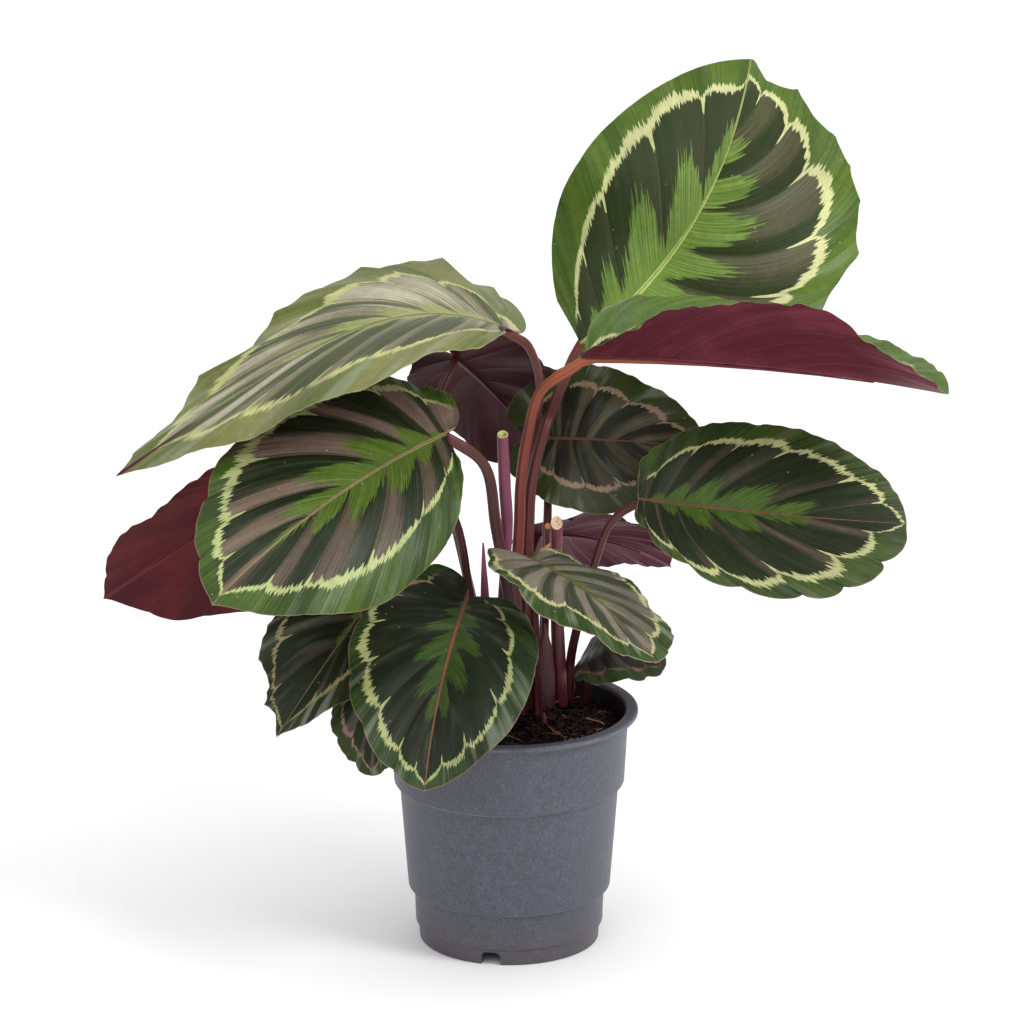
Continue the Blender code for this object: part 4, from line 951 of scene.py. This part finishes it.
# %% Where the petioles run
STEM_FOOT_Z = 86.0
STEM_CLEAR_Z = 112.0
PETIOLES = {
    "leaf_top": [(9, 17), (8, 16, 160), (9, 15.5, 193), (10.5, 15, 217), (16, 17, 240), (22, 30, 253),
                 (28, 46, 263)],
    "leaf_right_folded": [(3, 11), (2.8, 10.5, 160), (4.6, 10, 196), (5.5, 9, 220), (9, 8, 244),
                          (15, 7.5, 263)],
    "leaf_left_pale": [(2, 21), (4, 22, 190), (12, 24, 240), (14, 24, 262), (9, 20, 280)],
    "leaf_left_big": [(6, 2), (0, 0, 165), (-6, -2, 200), (-11, -5, 230)],
    "leaf_right": [(28, 24), (30, 22, 136), (42, 14, 186), (50, 13, 201)],
    "leaf_front": [(-3, -3), (-6, -4, 150), (-11, -7, 165)],
    "leaf_low_left": [(-14, 7), (-19, 10, 140), (-38, 17, 161)],
    "leaf_bottom_left": [(-8, -9), (-16, -10, 125), (-36, -11, 140)],
    "leaf_far_left": [(-9, 15), (-18, 12, 162), (-28, 13, 205), (-60, 13, 226)],
    "leaf_behind": [(-7, 24), (-18, 20, 162), (-29, 28, 212), (-33, 47, 245)],
    "leaf_back": [(16, 36), (17, 36, 170), (18, 39, 196), (18, 48, 214)],
    "leaf_low_centre": [(8, 31), (8, 36, 155), (10, 50, 171)],
    "leaf_small_front": [(13, 2), (12, -4, 150), (11, -15, 177)],
    "leaf_low_right": [(36, 29), (36, 29, 118)],
}
PETIOLE_RADII = {
    "leaf_top": (2.8, 2.6, 2.5, 2.3),
    "leaf_right_folded": (2.9, 2.7, 2.5, 2.3),
    "leaf_left_big": (3.0, 2.8, 2.6, 2.2),
}
# Colours of each petiole: near the soil, half way, and at the joint.
PETIOLE_COLOURS = {
    "leaf_top": ((106, 34, 46), (88, 42, 40), (110, 60, 50)),
    "leaf_right_folded": ((118, 40, 48), (118, 54, 42), (158, 88, 58)),
    "leaf_left_pale": ((98, 36, 44), (94, 48, 44), (104, 60, 52)),
    "leaf_left_big": ((96, 34, 44), (72, 36, 36), (104, 64, 58)),
}
DULL_RED = ((98, 30, 44), (80, 36, 38), (92, 52, 46))


# %% The petiole's finish
def stalk_finish(name, colours, under, streak_and_highlight=(158, 100, 88)):
    """Long streaks on skin that goes from one colour at the soil through another to the joint. The pale streaks are
    partly the stalk's own and partly painted highlights along its ridges.
    """
    f = Finish("stalk_" + name)
    share = f.number("share")
    low, middle, high = (paint(*colour) for colour in colours)
    colour = f.mix(f.step(share, 0.05, 0.45), low, middle)
    colour = f.mix(f.step(share, 0.78, 0.97), colour, high)
    colour = f.mix(f.step(share, 1.02, 1.35), colour, paint(*under))
    # Round the stalk fast and along it slowly, so that the streaks follow every bend.
    spot = f.pack(f.number("round_x"), f.number("round_y"), share)
    streak = f.noise(f.stretch(spot, (3.2, 3.2, 2.6)), detail=3.0)
    patch = f.noise(f.place(), scale=60.0, detail=2.0)
    stalk = f.math("SUBTRACT", 1.0, f.step(share, 1.0, 1.3))
    # Pale streaks: partly the stalk's own colour, partly painted highlights along its ridges.
    pale = f.math("MULTIPLY", f.step(streak, 0.54, 0.74), f.math("MULTIPLY_ADD", stalk, 0.2, 0.1))
    colour = f.mix(pale, colour, paint(*streak_and_highlight))
    colour = f.mix(f.math("MULTIPLY", f.math("SUBTRACT", 1.0, f.step(streak, 0.3, 0.5)), 0.7), colour,
                   paint(34, 14, 16))
    shade = f.math("MULTIPLY_ADD", patch, 0.7, 0.6)
    colour = f.mix(1.0, colour, f.pack(shade, shade, shade), "MULTIPLY")
    f.grain(f.math("MULTIPLY_ADD", streak, 0.7, f.math("MULTIPLY", patch, 0.3)), 0.0004, 0.7)
    return f.done(colour, f.math("MULTIPLY_ADD", streak, 0.25, 0.18), 0.25)


# %% Grow the petioles
RIB_SHARES = (0.05, 0.12, 0.22, 0.35, 0.5, 0.65, 0.8)
STALK_SIDES = 32


def petiole_shape(leaf):
    """The path and radii of a petiole and of the rib that it becomes."""
    key = leaf["name"]
    radii = PETIOLE_RADII.get(key, (2.4, 2.1, 1.9, 1.8))
    foot = PETIOLES[key][0]
    stalk = [np.array((*foot, STEM_FOOT_Z), float)]
    stalk += smooth_path([(*foot, STEM_CLEAR_Z)] + PETIOLES[key][1:] + [joint_end(leaf, radii[-1])], 7)
    sizes = [float(np.interp(k / (len(stalk) - 1), np.linspace(0, 1, len(radii)), radii)) for k in range(len(stalk))]
    left = np.cumsum([0.0] + [float(np.linalg.norm(b - a)) for a, b in zip(stalk[::-1], stalk[-2::-1])])[::-1]
    sizes = [size * (1.0 + 0.16 * math.exp(-(((away - 9.0) / 7.0) ** 2))) for size, away in zip(sizes, left)]
    points, _, _, normals = midrib(leaf, np.array(RIB_SHARES))
    for share, point, normal in zip(RIB_SHARES, points, normals):
        size = radii[-1] * 0.55 * (1.0 - share) ** 0.9
        stalk.append(point - normal * (0.5 * LEAF_THICKNESS + 0.8 * size))
        sizes.append(size)
    return stalk, sizes


def joint_end(leaf, radius):
    """The end of the petiole's own part, under the base of the blade."""
    points, _, _, normals = midrib(leaf, np.array([0.012]))
    return points[0] - normals[0] * (0.5 * LEAF_THICKNESS + 0.75 * radius)


for leaf in LEAVES:
    path, sizes = petiole_shape(leaf)
    points, faces, shares = tube(path, sizes, sides=STALK_SIDES, ridges=0.035)
    key = leaf["name"][5:]
    under = {**BASE_LOOK, **LOOKS[leaf["name"]]}["under"]
    finish = stalk_finish(key, PETIOLE_COLOURS.get(leaf["name"], DULL_RED), under)
    stalk = new_piece("stalk_" + key, points, faces, [finish], ["petiole_" + key], sharp=60.0)
    joint = shares[(len(path) - len(RIB_SHARES) - 1) * STALK_SIDES]
    add_number(stalk, "share", np.array(shares) / joint)
    angles = 2.0 * math.pi * np.arange(STALK_SIDES) / STALK_SIDES
    add_number(stalk, "round_x", np.tile(np.cos(angles), len(path)))
    add_number(stalk, "round_y", np.tile(np.sin(angles), len(path)))
print("petioles:", len(LEAVES))

# %% [markdown]
# ## Cut stubs and sheaths
#
# Old leaves leave something behind. A petiole that was cut is an open tube or a pale disc with dark
# pores. A sheath is the flat, pointed sleeve that a young stalk grew out of, and it dries to brown paper.
# All of them are stalks with another section, so the same tube serves, with a lining where it is hollow.


# %% Cut stubs
def stub_path(points):
    """A straight foot in the soil, then a smooth run."""
    return [np.array(points[0], float)] + smooth_path(points[1:], 6)


def spread(radii, count):
    """Radii for each point of a path, from a few given ones."""
    return [float(np.interp(k / (count - 1), np.linspace(0, 1, len(radii)), radii)) for k in range(count)]


def hollow_end(path, sizes, depth, wall):
    """The path turned back into the stub, so that its end is a rim with a hole."""
    direction = unit(path[-1] - path[-2])
    end = path[-1]
    more = [end + direction * 0.25, end, end - direction * depth]
    inner = sizes[-1] - wall
    return path + more, sizes + [sizes[-1] - 0.5 * wall, inner, inner * 0.9]


def cut_finish(name, skin, skin_low, face_colour, pores):
    """Skin on the sides, and another colour past the rim."""
    f = Finish("stub_" + name)
    share = f.number("share")
    streak = f.noise(f.stretch(f.place(), (1300.0, 1300.0, 50.0)), detail=2.0)
    colour = f.mix(f.step(share, 0.1, 0.6), paint(*skin_low), paint(*skin))
    colour = f.mix(f.math("MULTIPLY", f.step(streak, 0.5, 0.75), 0.5), colour, paint(*[0.55 * v for v in skin]))
    speck = f.specks(f.place(), 620.0)
    inside = f.mix(f.math("MULTIPLY", f.math("SUBTRACT", 1.0, f.step(speck, 0.16, 0.26)), pores),
                   paint(*face_colour), paint(70, 44, 30))
    colour = f.mix(f.step(f.number("inside"), 0.2, 0.5), colour, inside)
    f.grain(streak, 0.0004, 0.6)
    return f.done(colour, f.math("MULTIPLY_ADD", streak, 0.25, 0.32))


def cut_stub(name, points, radii, finish, node, depth, wall, groove=0.12, slope=0.0):
    """A slope of 1 makes a slanting cut that faces the front at 45 degrees."""
    path = stub_path(points)
    own = len(path)
    path, sizes = hollow_end(path, spread(radii, own), depth, wall)
    made, faces, shares = tube(path, sizes, sides=24, groove=groove, turned=3)
    made = np.array(made)
    cut = made[(own - 1) * 24:]
    cut[:, 2] += slope * (cut[:, 1] - path[own - 1][1])
    stub = new_piece(name, made, faces, [finish], [node], sharp=40.0)
    add_number(stub, "share", np.clip(np.array(shares) * len(path) / own, 0.0, 1.0))
    inside = np.repeat((np.arange(len(path)) >= own).astype(float), 24)
    add_number(stub, "inside", inside)
    return stub


cut_stub("stub_open", [(-4, 8, STEM_FOOT_Z), (-4, 8, STEM_CLEAR_Z), (-3, 7, 160), (-1, 5, 196), (-2, 3, 218),
         (-3, 3, 243)], (2.7, 2.5, 2.3, 2.8, 2.8, 2.6),
         cut_finish("open", (112, 46, 72), (96, 36, 56), (196, 196, 122), 0.3), "stub_pink", 4.0, 0.8,
         slope=0.5)
cut_stub("stub_faced", [(24, 17, STEM_FOOT_Z), (24, 17, STEM_CLEAR_Z), (22, 18, 160), (22, 18, 196)],
         (3.3, 3.2, 2.7, 2.8), cut_finish("faced", (98, 44, 52), (124, 36, 66), (226, 196, 160), 1.0),
         "stub_cream", 0.3, 0.3, groove=0.0, slope=0.9)
cut_stub("stub_slender", [(16, 26, STEM_FOOT_Z), (16, 26, STEM_CLEAR_Z), (17, 26, 160), (18, 26, 192)],
         (1.8, 1.7, 1.5), cut_finish("slender", (104, 46, 52), (110, 40, 60), (216, 130, 96), 0.4),
         "stub_thin", 0.4, 0.4, slope=0.8)


# %% Sheaths and shoot
def sheath_finish(name, tip, low, dry):
    f = Finish("sheath_" + name)
    streak = f.noise(f.stretch(f.place(), (900.0, 900.0, 30.0)), detail=3.0)
    colour = f.mix(f.step(f.number("share"), 0.3, 0.95), paint(*low), paint(*tip))
    colour = f.mix(f.math("MULTIPLY", f.step(streak, 0.5, 0.7), 0.6), colour, paint(*dry))
    f.grain(streak, 0.0006, 0.8)
    return f.done(colour, f.math("MULTIPLY_ADD", streak, 0.3, 0.4))


def fine_sheath(name, points, widths, depth, facing, node, finish):
    path = stub_path(points)
    widths = spread(widths, len(path))
    made, faces, shares = tube(path, [0.5 * wide for wide in widths], facing, 20, 0.0)
    made = np.array(made).reshape(len(path), 20, 3)
    for k, ((out, _), wide) in enumerate(zip(ring_frames(path, facing), widths)):
        flat = min(1.0, depth / wide)
        lift = (made[k] - path[k]) @ out
        made[k] -= np.outer(lift * (1.0 - flat), out)
    piece = new_piece(name, made.reshape(-1, 3), faces, [finish], [node], sharp=60.0)
    add_number(piece, "share", shares)
    return piece


fine_sheath("sleeve_pointed", [(17, 9, STEM_FOOT_Z), (17, 9, STEM_CLEAR_Z), (17, 10, 130), (16.5, 12, 149)],
            (9, 9, 8.5, 6, 0.8), 3.0, (0.3, -1, 0.2), "sheath_pointed",
            sheath_finish("pointed", (96, 58, 56), (74, 38, 46), (110, 76, 72)))
fine_sheath("sleeve_magenta", [(-12, -1, STEM_FOOT_Z), (-12, -1, STEM_CLEAR_Z), (-11, -1, 150), (-12, 0, 192)],
            (6.5, 6.5, 6, 4, 0.8), 2.6, (-0.3, -1, 0.2), "sheath_magenta",
            sheath_finish("magenta", (124, 52, 82), (118, 30, 62), (150, 70, 98)))
fine_sheath("sleeve_dried", [(10, 7, STEM_FOOT_Z), (10, 7, STEM_CLEAR_Z), (11, 7, 160), (13, 7, 181),
            (19, 9, 189)], (3.6, 3.6, 3.6, 4, 0.8), 1.6, (-0.3, -1, 0.4), "sheath_dried",
            sheath_finish("dried", (168, 118, 72), (120, 72, 50), (190, 150, 104)))
fine_sheath("young_shoot", [(16, -8, STEM_FOOT_Z), (16, -8, 106), (16, -8, 109), (16, -8, 112)],
            (3.2, 3.2, 2.6, 1.0), 3.2, (0.3, -1, 0.2), "shoot",
            sheath_finish("shoot", (96, 36, 44), (80, 30, 40), (120, 60, 60)))

# %% [markdown]
# ## The pot
#
# A nursery pot is thin moulded plastic with two steps, a rolled lip, a raised floor and notches in its
# foot to let water out. It is a profile turned about its axis, so Blender's own tools suit it: a Bevel
# softens the profile's corners, a Screw turns it and a Boolean cuts each notch.

# %% The pot
PAD_TOP, PAD_RADIUS, FLOOR_TOP, CHANNEL_Z = 2.5, 14.0, 8.5, 6.2
POT_HEIGHT, LIP_RADIUS, FOOT_RADIUS, FOOT_INNER = 112.5, 60.0, 41.9, 38.6
NOTCH_ANGLES = (-101.7, 18.3, 138.3)
POT_PROFILE = [
    (0.0, PAD_TOP), (PAD_RADIUS - 3.2, PAD_TOP), (PAD_RADIUS - 1.6, FLOOR_TOP), (40.2, FLOOR_TOP),
    (42.2, 10.4), (42.7, 25.0), (45.6, 27.4), (49.5, 76.0), (52.0, 78.4), (53.8, 110.4), (54.4, 112.0),
    (55.2, POT_HEIGHT), (59.2, POT_HEIGHT), (59.8, 112.1), (LIP_RADIUS, 111.5), (LIP_RADIUS, 110.3),
    (59.3, 109.7), (56.2, 109.5), (55.4, 108.9), (53.7, 77.6), (53.0, 76.7), (51.1, 76.4), (47.2, 26.2),
    (46.8, 25.6), (44.4, 25.3), (43.8, 8.4), (43.4, 7.9), (42.4, 7.7), (FOOT_RADIUS, 0.0),
    (FOOT_INNER, 0.0), (FOOT_INNER, CHANNEL_Z), (PAD_RADIUS, CHANNEL_Z), (PAD_RADIUS, 0.0), (0.0, 0.0),
]


def notch_cutter(angle):
    """A drain notch with its upper corners cut off, set across the foot ring."""
    outline = [(-4.5, -1.0), (4.5, -1.0), (4.5, 4.5), (3.0, 6.0), (-3.0, 6.0), (-4.5, 4.5)]
    points = [(37.0, y, z) for y, z in outline] + [(46.0, y, z) for y, z in outline]
    faces = [tuple(range(5, -1, -1)), tuple(range(6, 12))]
    faces += [(i, (i + 1) % 6, (i + 1) % 6 + 6, i + 6) for i in range(6)]
    mesh = bpy.data.meshes.new("notch_cutter")
    mesh.from_pydata((np.array(points) * MM).tolist(), [], faces)
    cutter = bpy.data.objects.new("notch_cutter", mesh)
    cutter.rotation_euler.z = math.radians(angle)
    bpy.context.scene.collection.objects.link(cutter)
    return cutter


def turned_pot():
    mesh = bpy.data.meshes.new("nursery_pot")
    points = [(radius * MM, 0.0, height * MM) for radius, height in POT_PROFILE]
    mesh.from_pydata(points, [(i, i + 1) for i in range(len(points) - 1)], [])
    pot = bpy.data.objects.new("nursery_pot", mesh)
    bpy.context.scene.collection.objects.link(pot)
    soften = pot.modifiers.new("soften", "BEVEL")
    soften.affect = "VERTICES"
    soften.width = 0.25 * MM
    soften.segments = 2
    screw = pot.modifiers.new("turn", "SCREW")
    screw.steps = screw.render_steps = 160
    screw.use_merge_vertices = True
    screw.merge_threshold = 0.00005
    cutters = [notch_cutter(angle) for angle in NOTCH_ANGLES]
    for cutter in cutters:
        cut = pot.modifiers.new("notch", "BOOLEAN")
        cut.operation = "DIFFERENCE"
        cut.solver = "EXACT"
        cut.object = cutter
    bpy.context.view_layer.update()
    made = bpy.data.meshes.new_from_object(pot.evaluated_get(bpy.context.evaluated_depsgraph_get()))
    pot.modifiers.clear()
    pot.data = made
    for cutter in cutters:
        bpy.data.objects.remove(cutter)
    made.shade_smooth()
    made.set_sharp_from_angle(angle=math.radians(38.0))
    return pot


# %% [markdown]
# ## The pot's plastic
#
# Recycled plastic is never one grey. Up close it is mottled and speckled, and handling leaves faint scratches. A thin
# painted highlight lies along each step and at the lip, and the inner wall is darkened with painted shade.


# %% The plastic's finish
def plastic_finish():
    f = Finish("nursery_plastic")
    spot = f.place()
    speckle = f.noise(spot, scale=1500.0, detail=2.0, roughness=0.7)
    mottle = f.noise(spot, scale=240.0, detail=3.0, roughness=0.6)
    cloud = f.noise(spot, scale=22.0, detail=2.0)
    scratch = f.noise(f.stretch(spot, (60.0, 60.0, 2600.0)), detail=1.0)
    colour = f.mix(f.step(mottle, 0.3, 0.7), paint(66, 67, 77), paint(76, 77, 89))
    colour = f.mix(f.math("MULTIPLY", f.step(speckle, 0.54, 0.70), 0.5), colour, paint(126, 128, 138))
    dark_speckle = f.math("SUBTRACT", 1.0, f.step(speckle, 0.30, 0.44))
    colour = f.mix(f.math("MULTIPLY", dark_speckle, 0.6), colour, paint(38, 39, 46))
    colour = f.mix(f.math("MULTIPLY", f.step(cloud, 0.45, 0.7), 0.2), colour, paint(62, 63, 74))
    colour = f.mix(f.math("MULTIPLY", f.step(scratch, 0.70, 0.78), 0.12), colour, paint(136, 138, 148))
    # The foot is dusty.
    x, y, z = f.parts(spot)
    foot = f.math("SUBTRACT", 1.0, f.step(f.math("MULTIPLY_ADD", cloud, 0.02, z), 0.018, 0.034))
    colour = f.mix(f.math("MULTIPLY", foot, 0.3), colour, paint(84, 72, 68))
    # Painted highlights: a thin lighter line at each step and at the lip, where the light glints.
    for edge_z in (0.0255, 0.0767, 0.1112):
        away = f.math("ABSOLUTE", f.math("SUBTRACT", z, edge_z))
        painted_glint = f.math("MULTIPLY", f.math("SUBTRACT", 1.0, f.step(away, 0.0002, 0.0008)), 0.35)
        colour = f.mix(f.math("MULTIPLY", painted_glint, f.step(cloud, 0.4, 0.6)), colour, paint(138, 140, 150))
    # Painted shade: the inner wall above the soil is painted nearly black, as the shade that the rim and the leaves
    # cast in it.
    radius = f.math("SQRT", f.math("ADD", f.math("MULTIPLY", x, x), f.math("MULTIPLY", y, y)))
    lean = f.math("MULTIPLY_ADD", z, -0.06, radius)
    inside = f.math("SUBTRACT", 1.0, f.step(lean, 0.0479, 0.0485))
    inside = f.math("MULTIPLY", inside, f.step(z, 0.090, 0.092))
    colour = f.mix(f.math("MULTIPLY", inside, 0.85), colour, paint(12, 11, 12))
    height = f.math("MULTIPLY_ADD", speckle, 0.4, f.math("MULTIPLY_ADD", mottle, 0.4, f.math("MULTIPLY", scratch, 0.1)))
    f.grain(height, 0.0002, 0.6)
    return f.done(colour, f.math("MULTIPLY_ADD", mottle, 0.25, 0.36))


pot = turned_pot()
pot.data.materials.clear()
pot.data.materials.append(plastic_finish())
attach(pot, "root")
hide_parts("pot")
print("pot faces:", len(pot.data.polygons))

# %% [markdown]
# ## Soil
#
# Potting soil is dark peat with crumbs and reddish fibres, a little higher round the stems. A fine mesh
# with noise in its height gives the crumbly surface. Loose crumbs and fibres on top of it are real
# geometry, because they stand out against the rim and cast small shadows.

# %% The soil's surface
SOIL_EDGE_Z, SOIL_RISE, SOIL_BUMP = 103.0, 5.5, 0.9
SOIL_MOUND = (8.0, 10.0)


def soil_height(x, y):
    away = math.hypot(x - SOIL_MOUND[0], y - SOIL_MOUND[1])
    coarse = noise.noise(Vector((x * 0.11, y * 0.11, 3.0)))
    fine = noise.noise(Vector((x * 0.31, y * 0.31, 9.0)))
    return SOIL_EDGE_Z + SOIL_RISE * math.exp(-((away / 34.0) ** 2)) + SOIL_BUMP * (coarse + 0.6 * fine)


def crumbly(x, y):
    """The soil's height with crumbs of two sizes on it."""
    lump = noise.noise(Vector((x * 0.55, y * 0.55, 1.0)))
    crumb = noise.noise(Vector((x * 1.3, y * 1.3, 5.0)))
    return soil_height(x, y) + 1.0 * abs(lump) + 0.9 * abs(crumb) - 0.4


def peat_finish():
    f = Finish("peat")
    spot = f.place()
    crumbs = f.noise(spot, scale=420.0, detail=4.0, roughness=0.65)
    strands = f.noise(f.stretch(spot, (1500.0, 260.0, 400.0)), detail=2.0)
    colour = f.mix(f.step(crumbs, 0.38, 0.72), paint(9, 5, 5), paint(40, 22, 16))
    colour = f.mix(f.math("MULTIPLY", f.step(strands, 0.66, 0.76), 0.6), colour, paint(84, 50, 34))
    f.grain(crumbs, 0.0015, 0.9)
    return f.done(colour, f.math("MULTIPLY_ADD", crumbs, 0.2, 0.78), 0.2)


def soil_mesh():
    steps, rings = 200, 70
    side = [(52.5, 100.0), (51.2, 78.9), (48.7, 76.5), (44.8, 27.9), (41.9, 25.4), (41.4, 10.7), (39.6, 8.8),
            (12.0, 8.8), (10.4, 2.8)]
    radii = [53.0 * (k + 1) / rings for k in range(rings)]
    points = [(0.0, 0.0, crumbly(0.0, 0.0))]
    for radius in radii:
        for k in range(steps):
            angle = 2.0 * math.pi * k / steps
            x, y = radius * math.cos(angle), radius * math.sin(angle)
            points.append((x, y, crumbly(x, y)))
    for radius, height in side:
        points += [(radius * math.cos(2.0 * math.pi * k / steps), radius * math.sin(2.0 * math.pi * k / steps), height)
                   for k in range(steps)]
    points.append((0.0, 0.0, 2.8))
    faces = [(0, 1 + k, 1 + (k + 1) % steps) for k in range(steps)]
    count = rings + len(side)
    for ring in range(count - 1):
        for k in range(steps):
            a, b = 1 + ring * steps + k, 1 + ring * steps + (k + 1) % steps
            faces.append((a, a + steps, b + steps, b))
    last = 1 + (count - 1) * steps
    faces += [(last + (k + 1) % steps, last + k, len(points) - 1) for k in range(steps)]
    return points, faces


peat = peat_finish()
points, faces = soil_mesh()
soil = new_piece("peat_bed", points, faces, [peat], ["soil"], sharp=80.0)
print("soil faces:", len(faces))

# %% [markdown]
# ## Crumbs and fibres
#
# Each crumb is a small lump with uneven corners. Each fibre is a thin bent strand that lies on the soil
# or sticks up a little. They are scattered with a fixed seed, so the same script always gives the same
# soil, and each kind is joined into one mesh to keep the scene light.


# %% Crumbs and fibres
def scatter(random, count, reach):
    """Places on the soil, kept inside the rim."""
    places = []
    while len(places) < count:
        x, y = random.uniform(-reach, reach, 2)
        if math.hypot(x, y) < reach:
            places.append((x, y))
    return places


def crumb_shape(random, x, y, size):
    """An uneven lump of 8 corners, smoothed by its shading."""
    corners = np.array([(a, b, c) for a in (-1, 1) for b in (-1, 1) for c in (-1, 1)], float)
    corners = corners * random.uniform(0.45, 1.0, (8, 3)) * size * random.uniform(0.6, 1.0, 3)
    turn = random.uniform(0, math.pi)
    spin = np.array([[math.cos(turn), -math.sin(turn), 0], [math.sin(turn), math.cos(turn), 0], [0, 0, 1]])
    faces = [(0, 1, 3, 2), (4, 6, 7, 5), (0, 4, 5, 1), (2, 3, 7, 6), (0, 2, 6, 4), (1, 5, 7, 3)]
    return corners @ spin.T + (x, y, crumbly(x, y) + 0.2 * size), faces


def fibre_shape(random, x, y, length, radius):
    heading = random.uniform(0, 2.0 * math.pi)
    rise = random.uniform(-0.1, 0.35)
    place = np.array((x, y, crumbly(x, y) + 0.3))
    path = [place]
    for _ in range(5):
        heading += random.normal(0.0, 0.45)
        rise += random.normal(-0.05, 0.2)
        path.append(path[-1] + length / 5.0 * np.array((math.cos(heading), math.sin(heading), rise)))
    for k, point in enumerate(path):
        floor_z = crumbly(point[0], point[1]) + 0.15
        if math.hypot(point[0], point[1]) > 51.5:
            point[:2] *= 51.5 / math.hypot(point[0], point[1])
        path[k] = np.array((point[0], point[1], max(point[2], floor_z)))
    points, faces, _ = tube(path, [radius, radius, radius, radius, radius * 0.8, radius * 0.4], (0.2, 0.3, 1.0), 5, 0.0)
    return points, faces


def joined(shapes):
    """Many small shapes as one list of points and one of faces."""
    points, faces = [], []
    for shape_points, shape_faces in shapes:
        start = len(points)
        points += [tuple(point) for point in shape_points]
        faces += [tuple(v + start for v in face) for face in shape_faces]
    return points, faces


def fibre_finish(name, light, deep):
    f = Finish(name)
    mottle = f.noise(f.place(), scale=180.0, detail=2.0)
    fine = f.noise(f.place(), scale=1800.0, detail=1.0)
    colour = f.mix(f.step(mottle, 0.35, 0.65), paint(*deep), paint(*light))
    f.grain(fine, 0.0002)
    return f.done(colour, f.math("MULTIPLY_ADD", fine, 0.2, 0.6))


random = np.random.default_rng(12)
crumbs = [crumb_shape(random, x, y, random.uniform(0.5, 1.7)) for x, y in scatter(random, 900, 50.5)]
points, faces = joined(crumbs)
new_piece("peat_crumbs", points, faces, [peat], (), sharp=90.0)
fibres = [fibre_shape(random, x, y, random.uniform(4, 12), random.uniform(0.12, 0.26))
          for x, y in scatter(random, 420, 49.0)]
points, faces = joined(fibres)
new_piece("peat_fibres", points, faces, [fibre_finish("coir", (84, 46, 32), (34, 18, 14))], (), sharp=90.0)
straws = [fibre_shape(random, x, y, random.uniform(5, 13), random.uniform(0.16, 0.3))
          for x, y in scatter(random, 46, 47.0)]
points, faces = joined(straws)
new_piece("straws", points, faces, [fibre_finish("straw", (176, 138, 98), (120, 84, 56))], (), sharp=90.0)
print("crumbs:", len(crumbs), "fibres:", len(fibres), "straws:", len(straws))

# %% [markdown]
# ## Sizes at the end
#
# The box of the measured plant and that of the dressed one are both printed.

# %% Print both sizes
low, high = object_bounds()
sizes = {"cad": [list(cad_low), list(cad_high)], "visual": [list(low), list(high)]}
print("measured size:", [round(value, 4) for value in cad_high - cad_low])
print("dressed size: ", [round(value, 4) for value in high - low])
